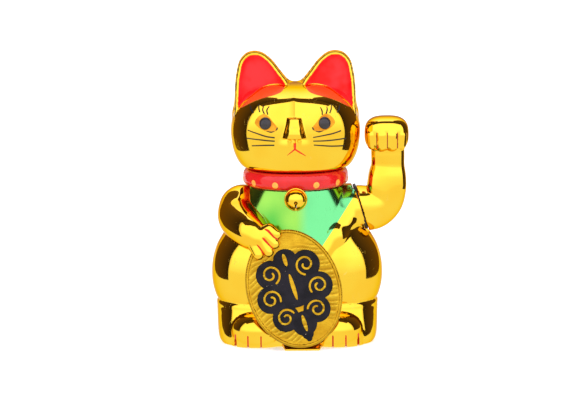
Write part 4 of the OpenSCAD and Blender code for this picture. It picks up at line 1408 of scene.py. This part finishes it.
def gold(name, painted=None):
    """Mirror gold plating over plastic: faint ripple, pinholes and dust specks, hairline scratches."""
    m = Nodes(name)
    tone = m.noise(22, 2)
    color = m.mix(m.remap(tone, 0.35, 0.65), GOLD_A, GOLD_B)
    speck = m.cells(2.3)
    seed = m.add("ShaderNodeSeparateColor", {0: speck.outputs["Color"]}).outputs[0]
    size = m.remap(seed, 0.62, 1.0, 0.0, 0.085)
    dot = m.math("LESS_THAN", speck.outputs["Distance"], size)
    clump = m.remap(m.noise(14, 2), 0.5, 0.6)
    dot = m.math("MULTIPLY", dot, clump)
    scratch = m.cells(3.0, "DISTANCE_TO_EDGE", m.stretched((1.0, 1.0, 0.13), (0.3, 0.5, 0.2)))
    line = m.math("LESS_THAN", scratch.outputs["Distance"], 0.006)
    line = m.math("MULTIPLY", line, m.remap(m.noise(9, 2), 0.62, 0.66))
    flaw = m.math("MAXIMUM", dot, m.math("MULTIPLY", line, 0.5))
    rough = m.math("ADD", m.remap(m.noise(6, 3), 0.3, 0.7, 0.035, 0.075), m.math("MULTIPLY", flaw, 0.4))
    color = m.mix(m.math("MULTIPLY", flaw, 0.45), color, (1.0, 0.8, 0.45))
    metallic = 1.0
    ripple = m.bump(m.noise(2.6, 2), 0.0016)
    normal = m.bump(flaw, 0.03, 0.6, ripple)
    if painted == "head":
        ear = m.attribute("ear")
        ridge = m.attribute("ridge")
        off_ridge = m.remap(m.math("ABSOLUTE", ridge), 0.26, 0.36)
        painted_here = m.math("MULTIPLY", m.remap(ear, -0.04, 0.04, 1, 0), off_ridge)
        shade = m.mix(m.remap(m.noise(9, 2), 0.4, 0.62), CORAL, (0.92, 0.012, 0.014))
        # the red paint below the ridge is real, its orange tone is painted reflection
        red = m.mix(m.remap(ridge, -0.1, 0.1), shade, RED_WITH_PAINTED_REFLECTION)
        color = m.mix(painted_here, color, red)
        iris = m.remap(m.attribute("almond"), -0.12, 0.05, 1, 0)
        color = m.mix(iris, color, m.mix(m.remap(m.noise(5, 2), 0.4, 0.6), ALMOND_A, ALMOND_B))
        paint = m.math("MAXIMUM", painted_here, iris)
        metallic = m.math("SUBTRACT", 1.0, m.math("MULTIPLY", paint, 0.9))
        rough = m.mix(paint, rough, m.remap(m.noise(3, 3), 0.3, 0.7, 0.28, 0.4))
        thickness = m.math("MULTIPLY", paint, m.remap(m.noise(0.7, 2), 0, 1, 0.85, 1.15))
        normal = m.bump(thickness, 0.06, 0.8, normal)
        # the shade in the fold of the forehead, softer on its left
        place = m.add("ShaderNodeSeparateXYZ", {"Vector": m.coord}).outputs
        off = m.math("MULTIPLY", m.math("ADD", place[0], FOLD_X), 1000.0)
        core = m.remap(m.math("ABSOLUTE", off), 0.15, 0.4, 0.75, 0.0)
        line = m.math("MAXIMUM", core, m.remap(off, -3.6, 0.0, 0.0, 0.42, smooth=True))
        line = m.math("MULTIPLY", line, m.math("LESS_THAN", off, 0.4))
        line = m.math("MULTIPLY", line, m.remap(place[2], 0.1255, 0.1275, 0, 1))
        line = m.math("MULTIPLY", line, m.remap(place[2], 0.1335, 0.1375, 1, 0))
        line = m.math("MULTIPLY", line, m.math("LESS_THAN", place[1], -0.015))
        color = m.mix(line, color, (0.50, 0.25, 0.015))
        # painted shade: the thin dark line along the seam round the ears
        seam = m.remap(m.attribute("seam"), -0.1, 0.1, 0.9, 0)
        color = m.mix(seam, color, (0.05, 0.028, 0.01))
    if painted == "hand":
        red = m.remap(m.attribute("red"), -0.06, 0.06, 1, 0)
        color = m.mix(red, color, (0.34, 0.03, 0.012))
        metallic = m.math("SUBTRACT", 1.0, m.math("MULTIPLY", red, 0.7))
        rough = m.math("ADD", rough, m.math("MULTIPLY", red, 0.3))
    if painted == "body":
        bib = m.remap(m.attribute("bib"), -0.1, 0.1, 1, 0)
        green = m.mix(m.remap(m.noise(22, 1), 0.35, 0.65), GREEN_A, GREEN_B)
        # painted reflection: the green turns lighter and bluer towards +X
        across = m.add("ShaderNodeSeparateXYZ", {"Vector": m.coord}).outputs[0]
        green = m.mix(m.remap(across, -0.001, 0.007, smooth=True), green, GREEN_PAINTED_REFLECTION)
        color = m.mix(bib, color, green)
        red = m.remap(m.attribute("red"), -0.05, 0.05, 1, 0)
        color = m.mix(red, color, (0.62, 0.03, 0.012))
        metallic = m.math("SUBTRACT", 1.0, m.math("MULTIPLY", red, 0.8))
        duller = m.math("ADD", m.math("MULTIPLY", bib, 0.09), m.math("MULTIPLY", red, 0.3))
        rough = m.math("ADD", rough, duller)
    return m.finish(color, metallic, rough, normal, Specular_IOR_Level=0.2, Specular_Tint=(0.86, 0.62, 0.34))


def lacquer(name, a, b, rough=0.12, tone=10.0, grain=1.2, coat=0.3, shine=0.35):
    m = Nodes(name)
    color = m.mix(m.remap(m.noise(tone, 3), 0.35, 0.65), a, b)
    r = m.remap(m.noise(grain * 3, 3), 0.3, 0.7, rough * 0.8, rough * 1.3)
    normal = m.bump(m.noise(grain, 2), 0.004)
    return m.finish(color, 0.0, r, normal, Coat_Weight=coat, Coat_Roughness=0.04, Specular_IOR_Level=shine)


def plastic(name, a, b, rough=0.45, grain=0.35, depth=0.012, shine=0.5):
    m = Nodes(name)
    color = m.mix(m.remap(m.noise(7, 4), 0.35, 0.65), a, b)
    r = m.remap(m.noise(grain * 4, 3), 0.3, 0.7, rough * 0.85, rough * 1.15)
    normal = m.bump(m.noise(grain, 3), depth)
    return m.finish(color, 0.0, r, normal, Specular_IOR_Level=shine)


def metal(name, a, b, rough=0.3, stretch=(1, 1, 12)):
    m = Nodes(name)
    fine = m.noise(1.2, 3, m.stretched(stretch))
    color = m.mix(m.remap(fine, 0.3, 0.7), a, b)
    r = m.remap(fine, 0.3, 0.7, rough * 0.8, rough * 1.25)
    return m.finish(color, 1.0, r, m.bump(fine, 0.006))


gold_plain = gold("gold_plating_plain")
gold_head = gold("gold_plating_head", "head")
gold_body = gold("gold_plating_body", "body")
gold_hand = gold("gold_plating_hand", "hand")
red_lacquer = lacquer("red_lacquer", (0.72, 0.012, 0.012), (0.62, 0.008, 0.010))
dot_paint = lacquer("orange_dots", (0.95, 0.40, 0.045), (0.90, 0.32, 0.03), 0.3, 3)
black_line = plastic("black_line_paint", (0.012, 0.010, 0.008), (0.03, 0.025, 0.02), 0.4, 0.2, 0.004, 0.2)
red_line = plastic("red_line_paint", (0.74, 0.022, 0.008), (0.62, 0.016, 0.006), 0.35, 0.2, 0.004, 0.15)
eye_black = lacquer("eye_bead", (0.020, 0.016, 0.016), (0.034, 0.028, 0.028), 0.3, 3, coat=0.3, shine=0.3)
black_plastic = plastic("black_plastic_moulded", (0.010, 0.010, 0.012), (0.022, 0.022, 0.025))
steel = metal("plain_steel", (0.56, 0.56, 0.57), (0.68, 0.68, 0.69))
copper = metal("copper_wire_wound", (0.72, 0.30, 0.12), (0.85, 0.42, 0.20), 0.3, (1, 1, 1))
white_plastic = plastic("white_plastic", (0.78, 0.77, 0.72), (0.86, 0.85, 0.80))
board_green = plastic("board_green_mask", (0.03, 0.22, 0.07), (0.045, 0.30, 0.10), 0.35, 0.5, 0.006)
sleeve_blue = plastic("capacitor_sleeve_blue", (0.03, 0.05, 0.25), (0.045, 0.07, 0.32), 0.25)
wrap_green = metal("battery_wrap_green", (0.06, 0.17, 0.08), (0.09, 0.24, 0.12), 0.35, (10, 1, 1))
wires = {
    "red": plastic("wire_red_skin", (0.60, 0.03, 0.02), (0.72, 0.05, 0.03), 0.4, 0.2, 0.004),
    "black": plastic("wire_black_skin", (0.015, 0.015, 0.015), (0.03, 0.03, 0.03), 0.4, 0.2, 0.004),
    "blue": plastic("wire_blue_skin", (0.03, 0.07, 0.40), (0.05, 0.11, 0.50), 0.4, 0.2, 0.004),
}


def coin_gold():
    """Satin amber gold, with painted shade in the struck marks and a painted highlight on what stands proud.
    """
    m = Nodes("koban_gold_satin")
    tone = m.remap(m.noise(9, 3), 0.35, 0.65)
    color = m.mix(tone, (0.56, 0.29, 0.012), (0.70, 0.42, 0.022))
    mark = m.attribute("mark")
    # painted highlight on the raised facets of the struck marks, painted shade in their hollows
    color = m.mix(m.remap(mark, 0.02, 0.14, 0, 0.85), color, (0.74, 0.52, 0.045))
    color = m.mix(m.remap(mark, -0.14, -0.02, 0.8, 0), color, (0.33, 0.165, 0.01))
    streak = m.noise(0.8, 4, m.stretched((0.25, 1, 1), (0, 0.3, 0)))
    color = m.mix(m.math("MULTIPLY", m.remap(streak, 0.45, 0.7), 0.35), color, (0.40, 0.2, 0.01))
    r = m.remap(streak, 0.3, 0.7, 0.24, 0.38)
    normal = m.bump(streak, 0.02, 0.7)
    normal = m.bump(m.noise(0.25, 3), 0.006, 0.6, normal)
    return m.finish(color, 1.0, r, normal)


coin_mat = coin_gold()


def motif_black():
    """Satin black paint with worn pinholes of gold."""
    m = Nodes("motif_black_paint")
    speck = m.cells(1.5)
    seed = m.add("ShaderNodeSeparateColor", {0: speck.outputs["Color"]}).outputs[0]
    dot = m.math("LESS_THAN", speck.outputs["Distance"], m.remap(seed, 0.55, 1, 0, 0.16))
    dot = m.math("MULTIPLY", dot, m.remap(m.noise(11, 2), 0.52, 0.6))
    tone = m.remap(m.noise(6, 3), 0.4, 0.6)
    color = m.mix(tone, (0.006, 0.005, 0.007), (0.012, 0.010, 0.014))
    color = m.mix(dot, color, (0.62, 0.50, 0.34))
    r = m.remap(m.noise(2, 3), 0.3, 0.7, 0.38, 0.52)
    return m.finish(color, 0.0, r, m.bump(m.noise(0.35, 3), 0.012), Specular_IOR_Level=0.14)


motif_mat = motif_black()

# the dark red lines between the fingers of the raised hand
x, y, z = points_of(arm_front).T
HAND_LINES = (44.3, 50.0, 55.6)
line = union(np.abs(x - gx) for gx in HAND_LINES) - 0.32
put_attribute(arm_front, "red", np.maximum.reduce([line, 106.0 - z, z - 115.2, y + 8.5]))


def dress(obj, mat, body, slot, *nodes):
    obj.data.materials.clear()
    obj.data.materials.append(mat)
    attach(obj, body)
    if nodes:
        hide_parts(*nodes)


dress(body_front, gold_body, "figurine", "gold_plating", "body_front_shell")
dress(body_rear, gold_plain, "figurine", "gold_plating", "body_rear_shell")
dress(head_front, gold_head, "figurine", "gold_plating", "head_front_shell")
dress(head_rear, gold_plain, "figurine", "gold_plating", "head_rear_shell")
dress(arm_front, gold_hand, "waving_arm", "gold_plating", "arm_front_shell")
dress(arm_rear, gold_plain, "waving_arm", "gold_plating", "arm_rear_shell")
dress(collar, red_lacquer, "figurine", "red_lacquer", "collar")
dress(collar_dots, dot_paint, "figurine", "red_lacquer")
dress(disc, black_plastic, "waving_arm", "black_plastic", "shoulder_disc")
dress(bell, gold_plain, "figurine", "gold_plating", "bell")
dress(eyes["left"], eye_black, "figurine", "eye_black", "eye_left")
dress(eyes["right"], eye_black, "figurine", "eye_black", "eye_right")
dress(whiskers, black_line, "figurine", "eye_black")
dress(lashes, black_line, "figurine", "eye_black")
dress(eye_lines, black_line, "figurine", "eye_black")
dress(mouth, red_line, "figurine", "red_lacquer")
dress(coin, coin_mat, "figurine", "koban_gold", "koban_coin")
dress(ornament, motif_mat, "figurine", "ornament_black", "coin_ornament")

NODE_LOOKS = {
    "base_plate": black_plastic,
    "battery_door": black_plastic,
    "swing_frame": black_plastic,
    "shoulder_disc": black_plastic,
    "pendulum_lever": black_plastic,
    "transistor": black_plastic,
    "bell_clapper": steel,
    "base_screws": steel,
    "contact_spring": steel,
    "contact_plate": steel,
    "frame_screws": steel,
    "arm_axle": steel,
    "axle_clips": steel,
    "counterweight": steel,
    "drive_magnet": steel,
    "switch_body": steel,
    "battery": wrap_green,
    "coil_bobbin": white_plastic,
    "switch_knob": white_plastic,
    "coil_winding": copper,
    "coil_leads": copper,
    "circuit_board": board_green,
    "capacitor": sleeve_blue,
    "lead_positive": wires["red"],
    "lead_negative": wires["black"],
    "lead_switch": wires["blue"],
}
for name, mat in NODE_LOOKS.items():
    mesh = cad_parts[name].data
    mesh.materials.clear()
    mesh.materials.append(mat)

# ------------------------------------------------------------------ stage and light


def on_stage(name, mesh):
    obj = bpy.data.objects.new(name, mesh)
    bpy.context.scene.collection.objects.link(obj)
    return obj


FLOOR_HALF = 4.0
FLOOR_SPLIT_Y = -0.165


def floor_part(name, y0, y1, z):
    """A rectangle of floor that the plating does not reflect."""
    mesh = bpy.data.meshes.new(name)
    corners = [(-FLOOR_HALF, y0, z), (FLOOR_HALF, y0, z), (FLOOR_HALF, y1, z), (-FLOOR_HALF, y1, z)]
    mesh.from_pydata(corners, [], [(0, 1, 2, 3)])
    on_stage(name, mesh).visible_glossy = False
    return mesh


fm = Nodes("floor_paper")
grain = fm.noise(40, 2)
paper = fm.mix(grain, (0.86, 0.86, 0.86), (0.9, 0.9, 0.9))
fm.finish(paper, 0.0, 0.9, Emission_Color=(1, 1, 1), Emission_Strength=0.35)
# seen from below the floor is clear, so that the underside can be looked at
underside = fm.add("ShaderNodeMixShader", {0: fm.add("ShaderNodeNewGeometry").outputs["Backfacing"]})
paper_out = fm.tree.nodes["Material Output"].inputs[0]
fm.tree.links.new(paper_out.links[0].from_socket, underside.inputs[1])
fm.tree.links.new(fm.add("ShaderNodeBsdfTransparent").outputs[0], underside.inputs[2])
fm.tree.links.new(underside.outputs[0], paper_out)
for part, *where in (
    ("floor", FLOOR_SPLIT_Y, FLOOR_HALF, -0.0003),
    ("front_floor", -FLOOR_HALF, FLOOR_SPLIT_Y, -0.0004),
):
    floor_part(part, *where).materials.append(fm.mat)

world = bpy.data.worlds.new("studio")
bpy.context.scene.world = world
world.use_nodes = True
bg = world.node_tree.nodes["Background"]
bg.inputs[0].default_value = (1, 1, 1, 1)
bg.inputs[1].default_value = 1.05


def graded_sheet(name, rows, shade, lights=False):
    """A reflect-only card made of rows of points, its light given point by point by shade(point)."""
    across = len(rows[0])
    mesh = bpy.data.meshes.new(name)
    points = [p for r in rows for p in r]
    quads = [
        (i * across + j, i * across + j + 1, (i + 1) * across + j + 1, (i + 1) * across + j)
        for i in range(len(rows) - 1)
        for j in range(across - 1)
    ]
    mesh.from_pydata(points, [], quads)
    layer = mesh.attributes.new("light", "FLOAT_COLOR", "POINT")
    layer.data.foreach_set("color", np.array([(*shade(p), 1) for p in points], np.float32).ravel())
    m = Nodes(name + "_glow")
    light = m.add("ShaderNodeAttribute", attribute_name="light").outputs["Color"]
    glow = m.add("ShaderNodeEmission", {"Color": light})
    m.tree.links.new(glow.outputs[0], m.add("ShaderNodeOutputMaterial").inputs[0])
    mesh.materials.append(m.mat)
    obj = on_stage(name, mesh)
    obj.visible_camera = False
    obj.visible_shadow = False
    obj.visible_diffuse = lights
    return obj


def blend(a, b, t):
    """Mixes two colours, t from 0 to 1."""
    t = min(max(t, 0), 1)
    return [p + (q - p) * t for p, q in zip(a, b)]


def around(radius, az, el):
    """A point at a distance, by its angle from the front and its height angle."""
    az, el = math.radians(az), math.radians(el)
    flat = radius * math.cos(el)
    return (math.sin(az) * flat, -math.cos(az) * flat, radius * math.sin(el))


# the dark cards at the sides, lighter and browner towards the back
FLAG_X, FLAG_TOP = 0.25, 1.4
flag_y = np.linspace(-0.053, 0.298, 9)
for side_name, sx in (("left", -1), ("right", 1)):
    graded_sheet(
        f"flag_{side_name}",
        [
            [(sx * FLAG_X, y, 0 if y < 0.2 else 0.4 * (y - 0.2)) for y in flag_y],
            [(sx * FLAG_X, y, FLAG_TOP) for y in flag_y],
        ],
        lambda p: blend((0.028, 0.020, 0.030), (0.17, 0.095, 0.05), ((p[1] + 0.053) / 0.35) ** 0.8),
    )
graded_sheet(
    "flag_over",
    [[(x, -0.40, 1.2) for x in (-1, 0, 1)], [(x, 0.10, 1.2) for x in (-1, 0, 1)]],
    lambda p: (0.08, 0.05, 0.035),
)
graded_sheet(
    "soft_top",
    [[(x, y, 1.25) for x in (-1, -0.5, 0, 0.5, 1)] for y in (0.12, 0.3, 0.6, 1.0, 1.6)],
    lambda p: blend((1.5, 1.55, 2.6), (1.2, 1.15, 1.2), (p[1] - 0.3) / 1.2),
)
# the soft front light, a curved sheet from low in front to nearly overhead
graded_sheet(
    "soft_front",
    [[around(1.6, a, e) for a in np.linspace(-78, 78, 27)] for e in np.linspace(1, 76, 16)],
    lambda p: blend((1.12, 1.08, 1.1), (1.55, 1.55, 1.75), (p[2] - 0.05) / 0.35),
    True,
)
# the warm table top in front, and the dim room behind, both only in reflections
graded_sheet(
    "table_glow",
    [
        [(x, y, 0.0004) for x in np.linspace(-2.4, 2.4, 9)]
        for y in (-2.4, -1.6, -1.0, -0.6, -0.35, -0.2, -0.1, 0.1, 0.6)
    ],
    lambda p: blend((0.98, 0.98, 0.9), (1.18, 1.14, 1.15), (-p[1] - 0.5) / 1.2),
)
DIM, WARM = (0.50, 0.29, 0.12), (1.0, 0.86, 0.66)
graded_sheet(
    "room_behind",
    [[around(1.9, a, e) for a in np.linspace(142, 218, 21)] for e in np.linspace(0.5, 34, 9)],
    lambda p: blend(
        blend(DIM, WARM, (abs(math.degrees(math.atan2(p[0], p[1]))) - 10) / 28),
        (1.05, 1.0, 0.9),
        (p[2] - 0.35) / 0.6,
    ),
)

bpy.context.scene.view_settings.view_transform = "Standard"
bpy.context.scene.view_settings.look = "None"
